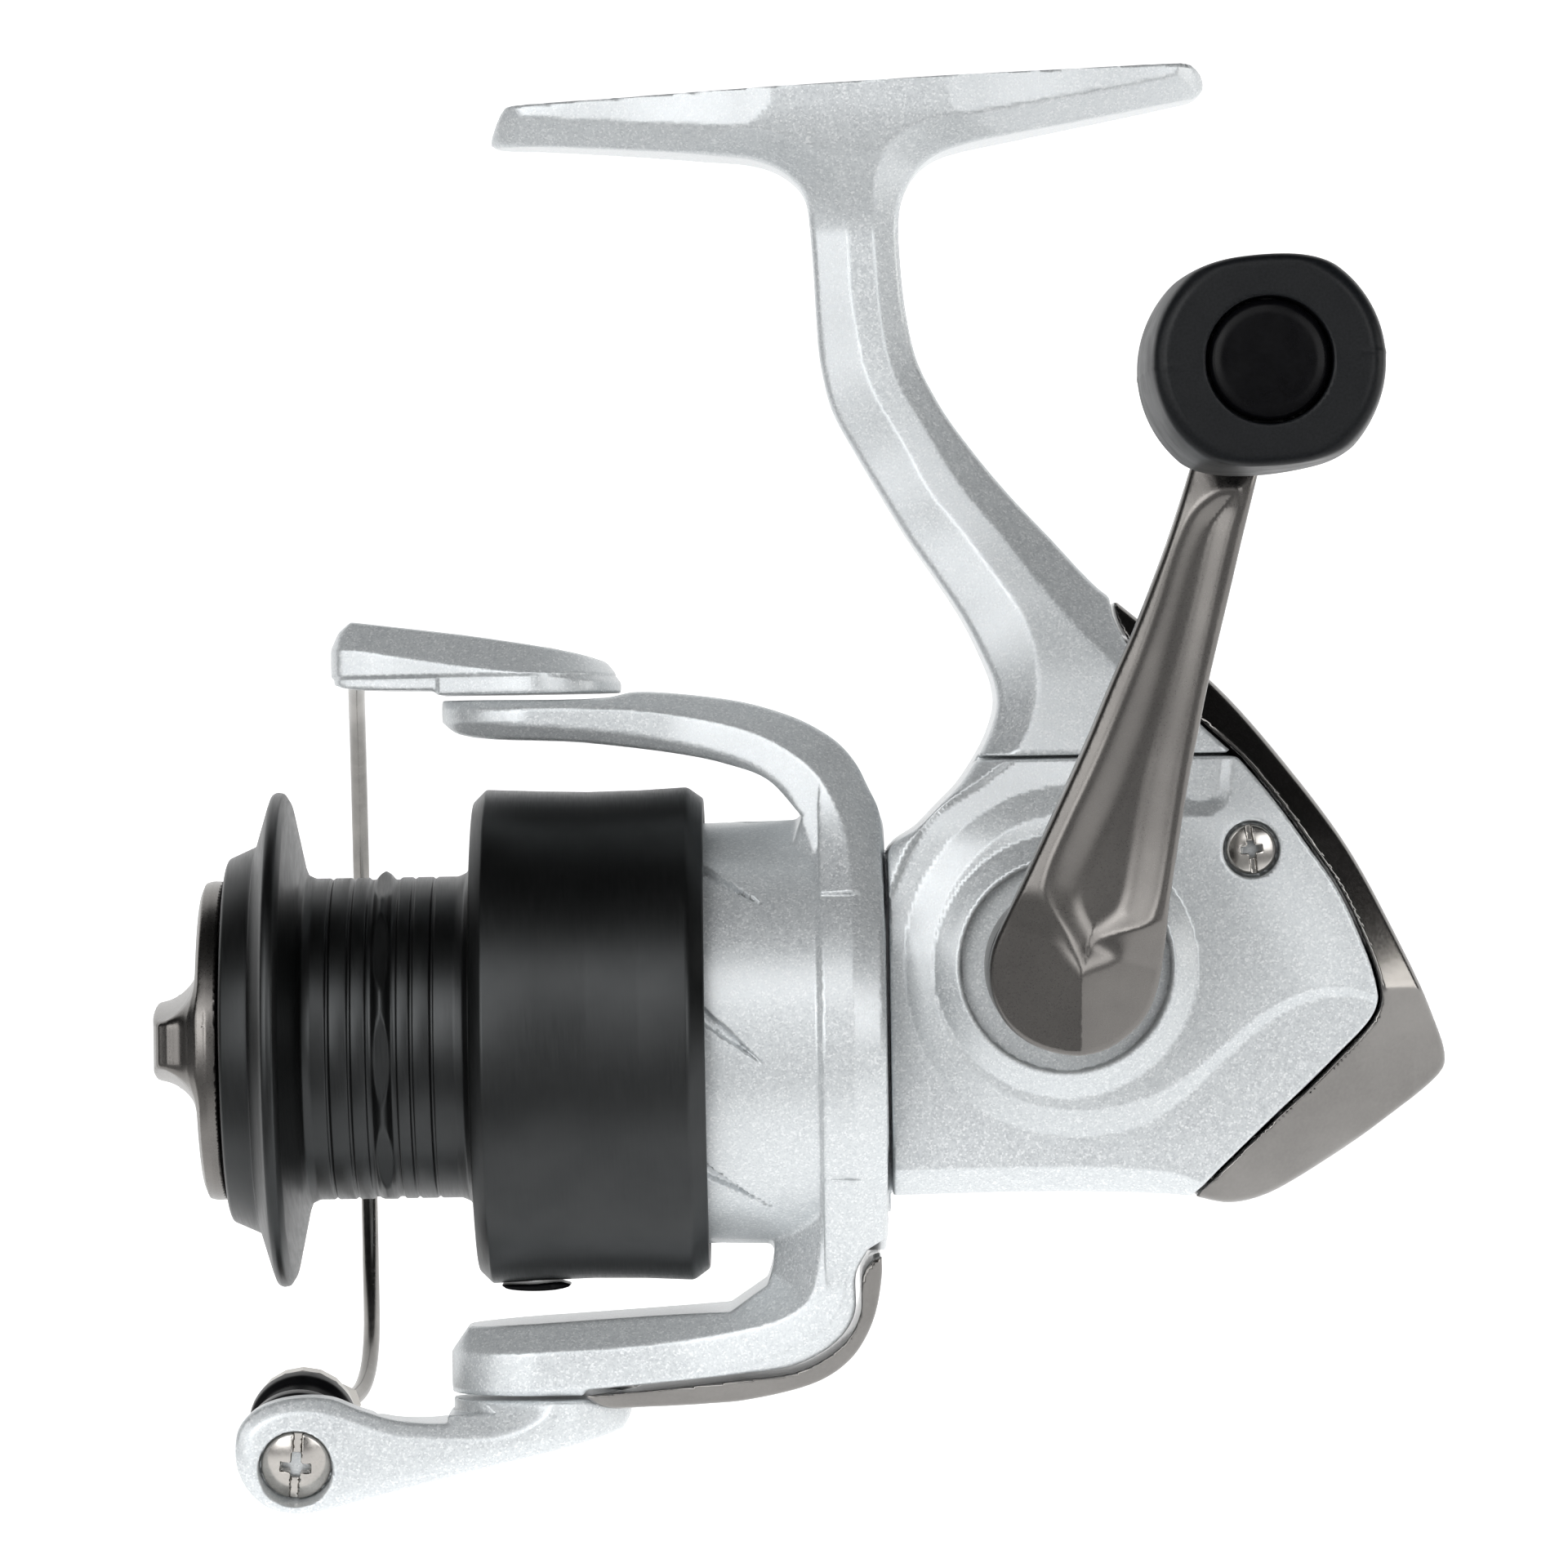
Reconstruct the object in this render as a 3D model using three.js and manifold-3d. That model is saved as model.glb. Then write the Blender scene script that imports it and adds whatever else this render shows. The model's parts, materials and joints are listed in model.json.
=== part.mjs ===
// Open-face spinning reel. Millimetres, +Z up out of the foot seat, +X to the rear, spool to -X, handle side -Y.
// Everything below the foot is drawn in a mechanism frame whose X axis is the main shaft; that frame is
// turned SHAFT_TILT about Y inside the part so that the foot seat is level and at the origin.
import * as THREE from "three";
import { mergeVertices } from "three/addons/utils/BufferGeometryUtils.js";
import Module from "manifold-3d";

const wasm = await Module();
wasm.setup();

// ---- driving dimensions ----
const DEG = Math.PI / 180;
const SHAFT_TILT = 2.75 * DEG; // spool nose tips up towards the rod
const SEAT_X = -1.3, SEAT_Z = 88.1; // middle of the foot seat, from the shaft axis and the rotor's rear plane
const CRANK_X = 16.6, CRANK_Z = 6.1; // drive gear axis
const KNOB_X = 32.1, KNOB_Z = 57.9; // knob axis, handle at its uppermost
const KNOB_R = 10.45, KNOB_HALF_Z = 9.0, KNOB_TURN = 3.6 * DEG; // grip: radius of the barrel, half height over its flats
const BOX_HALF = 13.5; // half width of the gearbox
const WALL = 1.8;
const SPLIT_Y = -5; // plane between frame body and side cover
const PANEL_Z = 25.1; // top edge of the side cover
const GAP = 0.3; // between touching pieces
const SHAFT_R = 1.6;
const PINION_TEETH = 9, PINION_PITCH_R = 2.9, PINION_TIP_R = 3.45, PINION_ROOT_R = 2.3;
const DRIVE_TEETH = 47, DRIVE_R = 17.0, DRIVE_IN_R = 14.5;
const OSC_X = 30.5, OSC_Z = 0, OSC_TEETH = 24, OSC_PITCH_R = 10.12, OSCP_TEETH = 12, OSCP_PITCH_R = 5.06; // spool oscillation gears
const ROTOR_R = 19.8, ROTOR_REAR_R = 20.5;
const PIVOT_X = -32.2; // bail pivot axis, along Z
const ARM_TOP = 31.4, ARM_BOTTOM = -33.1;
const ROLLER = { x: -55.0, y: 0, z: -36.9, tilt: 14 * DEG }; // line roller axis leans up towards +Y
const WIRE_R = 0.8;
const SPOOL_LIP_R = 23.1, ARBOR_R = 15.0, SKIRT_R = 23.0;

// ---- solids ----
const box3 = [0, 0, 0];
function solid(geometry) {
  const g = geometry.index ? geometry.toNonIndexed() : geometry.clone();
  const bare = new THREE.BufferGeometry().setAttribute("position", g.getAttribute("position"));
  const merged = mergeVertices(bare, 1e-4);
  const tri = new Uint32Array(merged.index.array);
  const make = () => new wasm.Manifold(new wasm.Mesh({ numProp: 3, vertProperties: merged.attributes.position.array, triVerts: tri }));
  let s = make();
  if (s.volume() < 0) {
    for (let i = 0; i < tri.length; i += 3) [tri[i + 1], tri[i + 2]] = [tri[i + 2], tri[i + 1]];
    s = make();
  }
  return s;
}
function geometryOf(s) {
  const m = s.getMesh(), n = m.numProp;
  const v = new Float32Array(m.numVert * 3);
  for (let i = 0; i < m.numVert; i++) v.set(m.vertProperties.subarray(i * n, i * n + 3), i * 3);
  const g = new THREE.BufferGeometry().setAttribute("position", new THREE.BufferAttribute(v, 3)).setIndex(new THREE.BufferAttribute(new Uint32Array(m.triVerts), 1));
  const out = g.toNonIndexed();
  out.computeVertexNormals();
  return out;
}
const add = (...s) => s.reduce((a, b) => a.add(b));
const cut = (a, ...s) => s.reduce((x, b) => x.subtract(b), a);
const both = (...s) => s.reduce((a, b) => a.intersect(b));
const shapeOf = (pts) => new THREE.Shape(pts.map((p) => new THREE.Vector2(p[0], p[1])));
const moved = (g, x = 0, y = 0, z = 0) => g.translate(x, y, z);

// side profile in X,Z pulled along Y
function side(pts, y0, y1) {
  const g = new THREE.ExtrudeGeometry(shapeOf(pts), { depth: y1 - y0, bevelEnabled: false, curveSegments: 8 });
  return solid(g.rotateX(Math.PI / 2).translate(0, y1, 0));
}
// plan profile in X,Y pulled along Z
function plan(pts, z0, z1) {
  return solid(new THREE.ExtrudeGeometry(shapeOf(pts), { depth: z1 - z0, bevelEnabled: false }).translate(0, 0, z0));
}
// front profile in Y,Z pulled along X
function front(pts, x0, x1) {
  const g = new THREE.ExtrudeGeometry(shapeOf(pts), { depth: x1 - x0, bevelEnabled: false });
  const m = new THREE.Matrix4().makeBasis(new THREE.Vector3(0, 1, 0), new THREE.Vector3(0, 0, 1), new THREE.Vector3(1, 0, 0));
  return solid(g.applyMatrix4(m).translate(x0, 0, 0));
}
function lathe(pts, segs, axis, at = box3) {
  const g = new THREE.LatheGeometry(pts.map((p) => new THREE.Vector2(p[1], p[0])), segs);
  if (axis === "x") g.rotateZ(-Math.PI / 2);
  if (axis === "z") g.rotateX(Math.PI / 2);
  return solid(g.translate(at[0], at[1], at[2]));
}
// disc or cylinder from a to b along an axis, radius r
const rod = (axis, a, b, r, segs = 24, at = box3) => lathe([[a, 0], [a, r], [b, r], [b, 0]], segs, axis, at);
const ring = (axis, a, b, rIn, rOut, segs = 24, at = box3) => lathe([[a, rIn], [a, rOut], [b, rOut], [b, rIn], [a, rIn]], segs, axis, at);
const block = (x0, x1, y0, y1, z0, z1) => solid(new THREE.BoxGeometry(x1 - x0, y1 - y0, z1 - z0).translate((x0 + x1) / 2, (y0 + y1) / 2, (z0 + z1) / 2));
const V = (p) => new THREE.Vector3(p[0], p[1], p[2]);
function circle(r, n) {
  const pts = [];
  for (let i = 0; i < n; i++) pts.push([r * Math.cos((2 * Math.PI * i) / n), r * Math.sin((2 * Math.PI * i) / n)]);
  return pts;
}
function tube(points, r, radial, steps, tension = 0.5) {
  const path = new THREE.CatmullRomCurve3(points.map(V), false, "catmullrom", tension);
  return solid(new THREE.ExtrudeGeometry(shapeOf(circle(r, radial)), { steps, extrudePath: path, bevelEnabled: false }));
}
function coil(axis, a, b, R, r, turns, at) {
  const pts = [], n = turns * 8;
  for (let i = 0; i <= n; i++) {
    const t = (2 * Math.PI * turns * i) / n, h = a + ((b - a) * i) / n;
    const c = R * Math.cos(t), s = R * Math.sin(t);
    pts.push(axis === "x" ? [h, c, s] : axis === "y" ? [c, h, s] : [c, s, h]);
  }
  const g = new THREE.ExtrudeGeometry(shapeOf(circle(r, 4)), { steps: n, extrudePath: new THREE.CatmullRomCurve3(pts.map(V)), bevelEnabled: false });
  return solid(g.translate(at[0], at[1], at[2]));
}
const spin = (s, axis, angle, at = box3) => {
  const g = geometryOf(s).translate(-at[0], -at[1], -at[2]);
  if (axis === "x") g.rotateX(angle);
  if (axis === "y") g.rotateY(angle);
  if (axis === "z") g.rotateZ(angle);
  return solid(g.translate(at[0], at[1], at[2]));
};
// mirror-image outline: half widths along one axis made into a closed strip
const strip = (pts) => [...pts.map((p) => [p[0], p[1]]), ...pts.slice().reverse().map((p) => [p[0], -p[1]])];
const upStrip = (pts) => [...pts.map((p) => [p[1], p[0]]), ...pts.slice().reverse().map((p) => [-p[1], p[0]])];

// ---- frame body, side cover, rear cover ----
const FRONT_TOP = [[0.4, 16.5], [3.5, 19.1], [7.2, 22.9], [9.7, 26.7], [10.9, 30.5], [9.9, 34.3], [5.5, 42.0], [0.6, 49.7], [-3.7, 57.4], [-4.8, 61.3], [-5.7, 74.6], [-6.4, 78.5], [-9.5, 80.7]];
const REAR_STEM = [[7.5, 82.0], [3.8, 79.4], [2.6, 75.5], [2.9, 68.0], [3.9, 63.0], [8.0, 55.3], [14.3, 47.6], [22.5, 39.5]];
const REAR_EDGE = [[31.0, 31.8], [37.3, 24.3], [42.8, 16.6], [46.9, 8.9], [50.5, 1.2], [51.9, -2.6], [51.9, -4.0], [46.3, -8.6], [38.6, -13.7], [34.7, -15.7], [31.5, -16.2], [23.3, -15.1], [0.4, -14.9]];
const stemTop = [[-9.5, 84.5], [7.5, 84.8]];
const bodySide = [...FRONT_TOP, ...stemTop, ...REAR_STEM, ...REAR_EDGE];
const halfWidth = [[-17.5, 7.5], [-14.2, 11.0], [-9.0, BOX_HALF], [17.0, BOX_HALF], [27.0, 11.4], [40.0, 6.9], [48.0, 4.9], [58.0, 3.5], [75.0, 3.3], [81.5, 6.0], [86.0, 6.4]];
const planWidth = [[-12.0, BOX_HALF], [34.0, BOX_HALF], [43.0, 11.6], [52.5, 5.0]];
const hull3 = both(side(bodySide, -15, 15), front(upStrip(halfWidth), -14, 54), plan(strip(planWidth), -18, 86));

const cavitySide = [[1.8, -12.9], [1.8, 15.9], [6.0, 19.6], [9.2, 23.3], [35.6, 23.3], [41.2, 15.2], [45.1, 8.0], [48.6, 0.6], [49.6, -2.8], [45.0, -7.2], [37.7, -11.9], [34.0, -13.8], [29.0, -13.7], [15.6, -12.9]];
const cavity = both(
  side(cavitySide, -13, 13),
  front(upStrip([[-15.5, 6.0], [-12.4, 9.6], [-8.0, 11.7], [16.0, 11.7], [23.5, 10.6]]), 0, 54),
  plan(strip([[0, 11.7], [33.5, 11.7], [42.3, 9.8], [50.5, 4.4]]), -16, 24),
);

const seam = (d) => [[22.2 + d, 43], [22.2 + d, 37.2], [25.8 + d, 32.4], [31.7 + d, 26.6], [36.9 + d, 21.3], [42.0 + d, 13.3], [44.9 + d, 6.5], [45.6 + d, 2.8], [42.5 + d, -1.7], [34.1 + d, -9.5], [28.0 + d, -15.4], [27.0 + d, -19], [62, -19], [62, 43]];
const rearZone = side(seam(0), -16, 16);
const rearZoneGap = side(seam(-0.35), -16, 16);
const coverZone = both(block(-4, 60, -16, SPLIT_Y, -18, PANEL_Z), front(strip([[-16, 30], [16, 30]]), -5, 60));
const coverZoneGap = block(-4, 60, -17, SPLIT_Y + GAP, -18, PANEL_Z + GAP);

const frontBoss = cut(add(ring("x", -3.0, 0.6, 6.15, 17.3, 32), ring("x", -4.8, -2.9, 6.15, 8.6, 24)), block(0.15, 2, -20, SPLIT_Y + GAP, -18, 26));
const POSTS = [[33.8, 16.5], [3.9, -11.0]];
const post = (p, y0, y1, r) => rod("y", y0, y1, r, 14, [p[0], 0, p[1]]);
const shell = cut(hull3, cavity);

// near-side boss round the handle shaft
const bossNear = lathe([[-11.8, 0], [-11.8, 13.0], [-13.6, 13.0], [-16.2, 11.2], [-16.2, 0]], 28, "y", [CRANK_X, 0, CRANK_Z]);
const bossFar = lathe([[11.8, 0], [11.8, 13.0], [13.6, 13.0], [15.2, 11.8], [15.2, 0]], 28, "y", [CRANK_X, 0, CRANK_Z]);
const seatNear = rod("y", -12.3, -8.3, 8.2, 22, [CRANK_X, 0, CRANK_Z]);
const seatFar = rod("y", 8.3, 12.3, 8.2, 22, [CRANK_X, 0, CRANK_Z]);
const boreDrive = (y0, y1, r) => rod("y", y0, y1, r, 22, [CRANK_X, 0, CRANK_Z]);

let cover = both(cut(shell, rearZoneGap), coverZone);
cover = add(cover, bossNear, seatNear, ...POSTS.map((p) => post(p, -12.4, SPLIT_Y, 2.5)));
cover = cut(cover, boreDrive(-12.6, -8, 6.15), boreDrive(-17, -13.7, 9.6), boreDrive(-14, -8, 4.6), rod("y", -7.9, -1.8, DRIVE_R + 0.5, 28, [CRANK_X, 0, CRANK_Z]));
cover = cut(cover, post(POSTS[0], -15, -12.2, 2.6), post(POSTS[0], -13, -4, 1.1), post(POSTS[1], -11.5, -4, 1.1));
cover = both(cover, block(0.5, 60, -17, 0, -18, 26));

const footSide = (() => {
  // in the level frame of the seat, then turned into the mechanism frame
  const level = [[-31.6, 0], [-32.8, -0.4], [-33.6, -1.3], [-33.7, -2.6], [-33.0, -3.3], [-29.0, -3.9], [-19.0, -5.1], [-11.5, -6.0], [-7.0, -6.9], [-2.0, -8.6], [3.2, -8.8], [6.4, -7.4], [11.0, -6.2], [13.8, -5.6], [21.5, -4.4], [29.4, -3.5], [31.6, -3.1], [32.4, -2.3], [32.3, -1.2], [31.5, -0.3], [30.4, 0]];
  return level.map(([a, b]) => [SEAT_X + a * Math.cos(SHAFT_TILT) - b * Math.sin(SHAFT_TILT), SEAT_Z + a * Math.sin(SHAFT_TILT) + b * Math.cos(SHAFT_TILT)]);
})();
const footPlan = strip([[-35.5, 1.6], [-34.9, 3.2], [-33.6, 4.4], [-31.0, 5.0], [-22.0, 5.8], [-12.0, 7.0], [-5.0, 7.6], [3.0, 7.6], [10.0, 7.0], [19.0, 5.8], [28.0, 4.9], [30.4, 4.3], [31.5, 3.2], [32.0, 1.6]]);
const foot = both(side(footSide, -9, 9), plan(footPlan, 76, 94));

let frame = cut(shell, rearZoneGap, coverZoneGap);
frame = add(frame, bossFar, seatFar, frontBoss, ...POSTS.map((p) => post(p, SPLIT_Y + GAP, 12.4, 2.5)));
const bushRib = block(5.4, 7.8, -2.1, 12, -5.2, 5.2);
const ROD_Y = 5, ROD_UP = 9.4, ROD_LOW = -8.6;
const rearRib = cut(add(block(38.9, 40.3, 3.2, 9.5, -9.9, 11.0), block(38.9, 40.3, 9.4, 12, -2.5, 11.0)), rod("x", 38, 42, 1.2, 10, [0, ROD_Y, ROD_UP]), rod("x", 38, 42, 1.2, 10, [0, ROD_Y, ROD_LOW]), rod("y", 6.5, 8.4, 11.2, 28, [OSC_X, 0, OSC_Z]));
const oscPost = rod("y", 8.5, 12.2, 3.6, 18, [OSC_X, 0, OSC_Z]);
const tongue = both(side([[23, -14.2], [23, -12.2], [33, -8.6], [38.6, -6.6], [38.6, -9.4], [33, -11.4], [27.4, -14.2]], -3, 3), block(20, 45, -3, 3, -14.6, 0));
const rodBossLow = cut(block(12.0, 14.0, 3.2, 12, -10.6, -6.8), rod("x", 11, 16, 1.2, 10, [0, ROD_Y, ROD_LOW]));
const rodBossUp = cut(block(20.8, 22.6, 3.2, 12, 8.0, 11.6), rod("x", 20, 24, 1.2, 10, [0, ROD_Y, ROD_UP]));
frame = add(frame, bushRib, rearRib, oscPost, tongue, rodBossLow, rodBossUp);
frame = cut(frame, rod("x", 5, 8.2, 3.75, 20), rod("x", -6, -0.9, 6.15, 24), rod("x", -2, 2.4, 4.2, 20), boreDrive(8, 13, 6.15), boreDrive(12, 16, 5.2), rod("y", -7.9, -1.8, DRIVE_R + 0.5, 28, [CRANK_X, 0, CRANK_Z]));
frame = cut(frame, rod("y", 6.7, 8.25, 6.2, 24, [CRANK_X, 0, CRANK_Z]), rod("y", 5.4, 11.0, 1.2, 12, [OSC_X, 0, OSC_Z]));
for (const p of [POSTS[1]]) frame = cut(frame, post(p, -6, 11.6, 1.1), post(p, 11.5, 15, 2.2));
frame = cut(frame, post(POSTS[0], -6, 6, 1.1), rod("z", -15, -5, 1.05, 12, [35.6, 0, 0]));
frame = add(frame, foot);

let rearCover = both(shell, rearZone);
const coverPost = rod("z", -14.4, -9.9, 2.3, 14, [35.6, 0, 0]);
rearCover = add(rearCover, both(coverPost, hull3));
rearCover = cut(rearCover, rod("z", -18, -13.2, 2.1, 16, [35.6, 0, 0]), rod("z", -14, -8, 1.05, 12, [35.6, 0, 0]), side([[22, -14.6], [22, -11.8], [33, -8.2], [39, -6.2], [39, -9.75], [33, -11.75], [28, -14.6]], -3.3, 3.3));

// screws
const screwY = (p, head, dir, headR, shankEnd) => {
  const h = cut(lathe([[head, 0], [head, headR - 0.35], [head + dir * 0.35, headR], [head + dir * 1.3, headR], [head + dir * 1.3, 0.85], [shankEnd, 0.85], [shankEnd, 0]], 20, "y", [p[0], 0, p[1]]), block(p[0] - 1.4, p[0] + 1.4, Math.min(head, head + dir * 0.7) - (dir > 0 ? 1 : 0), Math.max(head, head + dir * 0.7) + (dir > 0 ? 0 : 1), p[1] - 0.3, p[1] + 0.3), block(p[0] - 0.3, p[0] + 0.3, Math.min(head, head + dir * 0.7) - (dir > 0 ? 1 : 0), Math.max(head, head + dir * 0.7) + (dir > 0 ? 0 : 1), p[1] - 1.4, p[1] + 1.4));
  return h;
};
const coverScrewRear = screwY(POSTS[0], -13.7, 1, 2.3, 3);
const coverScrewFront = screwY(POSTS[1], 13.0, -1, 1.95, -9.5);
const rearScrew = cut(lathe([[-14.9, 0], [-14.9, 1.6], [-14.6, 1.85], [-13.5, 1.85], [-13.5, 0.8], [-8.8, 0.8], [-8.8, 0]], 18, "z", [35.6, 0, 0]), block(34.3, 36.9, -0.3, 0.3, -16, -14.3), block(35.3, 35.9, -1.3, 1.3, -16, -14.3));

// bearings, clutch
const bearing = (axis, a, b, rIn, rOut, at = box3) => {
  const i = rIn + 0.8, o = rOut - 0.8, d = 0.3;
  return lathe([[a, rIn], [a, i], [a + d, i], [a + d, o], [a, o], [a, rOut], [b, rOut], [b, rIn], [a, rIn]], 20, axis, at);
};
const C = [CRANK_X, 0, CRANK_Z];
const nearBearing = bearing("y", -12.3, -8.5, 3.65, 6.0, C);
const farBearing = bearing("y", 8.5, 12.0, 3.65, 6.0, C);
const pinionBearing = bearing("x", -4.5, -1.3, 3.15, 6.0);
const retainer = ring("x", -5.6, -5.0, 4.9, 9.6, 24);
const clutch = ring("x", -9.3, -5.9, 5.0, 9.0, 24);
const clutchSleeve = ring("x", -9.4, -5.8, 3.15, 4.75, 20);
const rearBush = ring("x", 5.3, 7.9, 2.4, 3.6, 18);
const guideRodUp = rod("x", 20.8, 40.2, 1.0, 10, [0, ROD_Y, ROD_UP]);
const guideRodLow = rod("x", 12.0, 40.2, 1.0, 10, [0, ROD_Y, ROD_LOW]);
const dustCap = lathe([[12.4, 0], [12.4, 4.8], [15.5, 4.8], [15.5, 8.2], [16.6, 7.8], [17.3, 5.6], [17.3, 0]], 22, "y", C);

// ---- crank: drive gear, handle ----
function toothRing(n, rootR, tipR, rootW, tipW, y0, y1) {
  // spur teeth round the Y axis
  const pts = [];
  for (let i = 0; i < n; i++) {
    const c = (2 * Math.PI * i) / n;
    for (const [r, w] of [[rootR, -rootW / 2], [tipR, -tipW / 2], [tipR, tipW / 2], [rootR, rootW / 2]]) {
      const a = c + w / r;
      pts.push([r * Math.cos(a), r * Math.sin(a)]);
    }
  }
  return side(pts, y0, y1);
}
const at = (s, x, y, z) => solid(geometryOf(s).translate(x, y, z));
const OSC_LINE = Math.atan2(OSC_Z - CRANK_Z, OSC_X - CRANK_X); // direction from drive axis to oscillation axis, in X,Z
const OSC_PHASE = -OSC_LINE; // a tooth of the pinion points along that line
let gear = lathe([[-6.6, 4.0], [-6.6, DRIVE_R], [-2.4, DRIVE_R], [-2.4, DRIVE_IN_R], [-4.1, DRIVE_IN_R], [-4.1, 4.0], [-6.6, 4.0]], 47, "y");
{
  const slotHalfTop = 0.86, slotHalfRoot = 0.5;
  const slot = front([[-3.75, -slotHalfRoot], [-2.2, -slotHalfTop], [-2.2, slotHalfTop], [-3.75, slotHalfRoot]].map(([y, z]) => [y, z]), -DRIVE_R - 1.4, -12.7);
  let slots = null;
  const g0 = geometryOf(slot).translate(0, 0, -CRANK_Z);
  for (let i = 0; i < DRIVE_TEETH; i++) {
    const s = solid(g0.clone().rotateY((2 * Math.PI * i) / DRIVE_TEETH));
    slots = slots ? slots.add(s) : s;
  }
  gear = gear.subtract(slots);
}
const driveShaft = lathe([[-29.5, 0], [-29.5, 2.8], [-12.7, 2.8], [-12.7, 3.5], [-8.2, 3.5], [-8.2, 4.6], [-3.0, 4.6], [-1.8, 3.5], [12.2, 3.5], [12.2, 0]], 18, "y");
gear = at(add(gear, driveShaft), CRANK_X, 0, CRANK_Z);
const oscPinion = spin(at(cut(toothRing(OSCP_TEETH, 4.35, 5.75, 1.35, 0.62, 6.95, 7.95), rod("y", 6, 11, 3.65, 20)), CRANK_X, 0, CRANK_Z), "y", OSC_PHASE, [CRANK_X, 0, CRANK_Z]);
const oscGear = (() => {
  let g = toothRing(OSC_TEETH, 9.35, 10.75, 1.4, 0.62, 6.95, 7.95);
  g = spin(g, "y", -OSC_LINE + Math.PI + Math.PI / OSC_TEETH);
  g = add(g, rod("y", 6.7, 7.2, 1.0, 10, [0, 0, 6.25]));
  g = cut(g, rod("y", 6, 10, 1.3, 14), rod("y", 6, 7.5, 2.3, 14));
  return at(g, OSC_X, 0, OSC_Z);
})();
const oscScrew = at(lathe([[6.9, 0], [6.9, 2.0], [7.3, 2.0], [7.3, 1.0], [10.8, 1.0], [10.8, 0]], 14, "y"), OSC_X, 0, OSC_Z);

const armLen = Math.hypot(KNOB_X - CRANK_X, KNOB_Z - CRANK_Z);
const armAngle = Math.atan2(KNOB_Z - CRANK_Z, KNOB_X - CRANK_X);
const collar = cut(lathe([[-14.1, 0], [-14.1, 7.6], [-29.9, 7.6], [-30.4, 7.1], [-30.4, 0]], 24, "y", C), boreDrive(-29.9, -14, 3.05));
const armOutline = [[-7.6, 0], [-7.2, -2.4], [-6.2, -4.6], [-4.4, -6.3], [-2.3, -7.4], [0, -7.7], [2.6, -7.5], [7.8, -6.5], [11.5, -6.0], [18.7, -5.1], [27.85, -4.3], [42.6, -3.5], [54.0, -3.15], [56.3, -2.4], [57.5, -1.2], [57.8, 0.1], [57.5, 1.2], [56.3, 2.25], [54.0, 2.75], [46.7, 2.6], [39.1, 2.7], [30.7, 3.35], [19.8, 4.65], [8.0, 6.4], [4.0, 7.0], [0, 7.6], [-2.3, 7.3], [-4.4, 6.3], [-6.2, 4.6], [-7.3, 2.4]];
const dishOutline = [[0.3, -0.5], [1.5, 1.3], [3.9, 3.5], [5.9, 4.4], [8.2, 4.6], [12.5, 4.1], [17.8, 3.2], [25.7, 2.25], [33.0, 1.7], [39.0, 1.5], [41.8, 1.0], [43.9, -0.6], [44.2, -1.8], [40.8, -2.35], [34.2, -2.75], [27.3, -3.35], [19.9, -4.1], [11.3, -5.2], [7.45, -5.5], [5.2, -5.15], [2.1, -2.95]];
const DISH_DEPTH = 0.8; // hollow along the outer face of the arm
const handleArm = (() => {
  const flat = side(armOutline, -46, -30);
  const rise = [[-8.5, 30.7], [10, 30.7], [17, 31.0], [23, 33.4], [30, 35.6], [41, 38.5], [47, 40.0], [54, 41.8], [59, 42.2], [59, 45.0], [50, 44.6], [41, 43.0], [30, 40.8], [20, 38.8], [10, 37.4], [0, 36.6], [-8.5, 36.0]].map(([u, w]) => [u, -w]);
  const slab = solid(new THREE.ExtrudeGeometry(shapeOf(rise), { depth: 20, bevelEnabled: false }).translate(0, 0, -10));
  const hollow = [[-8.5, 36.0], [0, 36.6], [10, 37.4], [20, 38.8], [30, 40.8], [41, 43.0], [50, 44.6]];
  const over = [...hollow.map(([u, w]) => [u, DISH_DEPTH - w]), [50, -50], [-8.5, -50]];
  const dish = both(side(dishOutline, -50, -30), solid(new THREE.ExtrudeGeometry(shapeOf(over), { depth: 20, bevelEnabled: false }).translate(0, 0, -10)));
  const a = cut(both(flat, slab), dish);
  const placed = spin(a, "y", -armAngle);
  return cut(at(placed, CRANK_X, 0, CRANK_Z), rod("y", -46, -43, 1.6, 16, [KNOB_X, 0, KNOB_Z]));
})();
const K = [KNOB_X, 0, KNOB_Z];
const spindle = lathe([[-43.3, 0], [-43.3, 1.35], [-45.3, 1.35], [-45.3, 2.6], [-46.0, 2.6], [-46.0, 2.0], [-70.5, 2.0], [-70.5, 2.7], [-71.3, 2.7], [-71.3, 0]], 18, "y", K);
// The grip is a barrel with one bulging flat above and one below, turned a little about its spindle.
const knobFlats = () => {
  const pts = [], c = Math.cos(KNOB_TURN), q = Math.sin(KNOB_TURN);
  const add2 = (a, b) => pts.push([a * c - b * q, a * q + b * c]);
  for (const a of [-12, -8, -5.5, -3, 0, 3, 5.5, 8, 12]) add2(a, -(KNOB_HALF_Z - 0.018 * a * a));
  for (const a of [12, 8, 5.5, 3, 0, -3, -5.5, -8, -12]) add2(a, KNOB_HALF_Z - 0.018 * a * a);
  return pts;
};
let grip = both(side(knobFlats(), -76, -46), lathe([[-46.0, 0], [-46.0, 5.6], [-46.9, 7.2], [-49.5, 8.9], [-54, 10.0], [-60, KNOB_R], [-66, KNOB_R - 0.05], [-71, 10.25], [-74.6, 9.9], [-75.8, 9.2], [-76, 8.6], [-76, 0]], 32, "y"));
grip = cut(at(grip, KNOB_X, 0, KNOB_Z), rod("y", -73.4, -45, 2.2, 18, K), rod("y", -77, -73.3, 5.5, 28, K), rod("y", -73.5, -69.9, 3.9, 18, K), rod("y", -49.6, -45, 4.1, 18, K), rod("y", -73.5, -64.8, 3.9, 18, K));
const knobBearing = ring("y", -49.4, -46.4, 2.15, 3.9, 18, K);
const knobBush = ring("y", -69.7, -65.2, 2.15, 3.7, 18, K);
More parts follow.
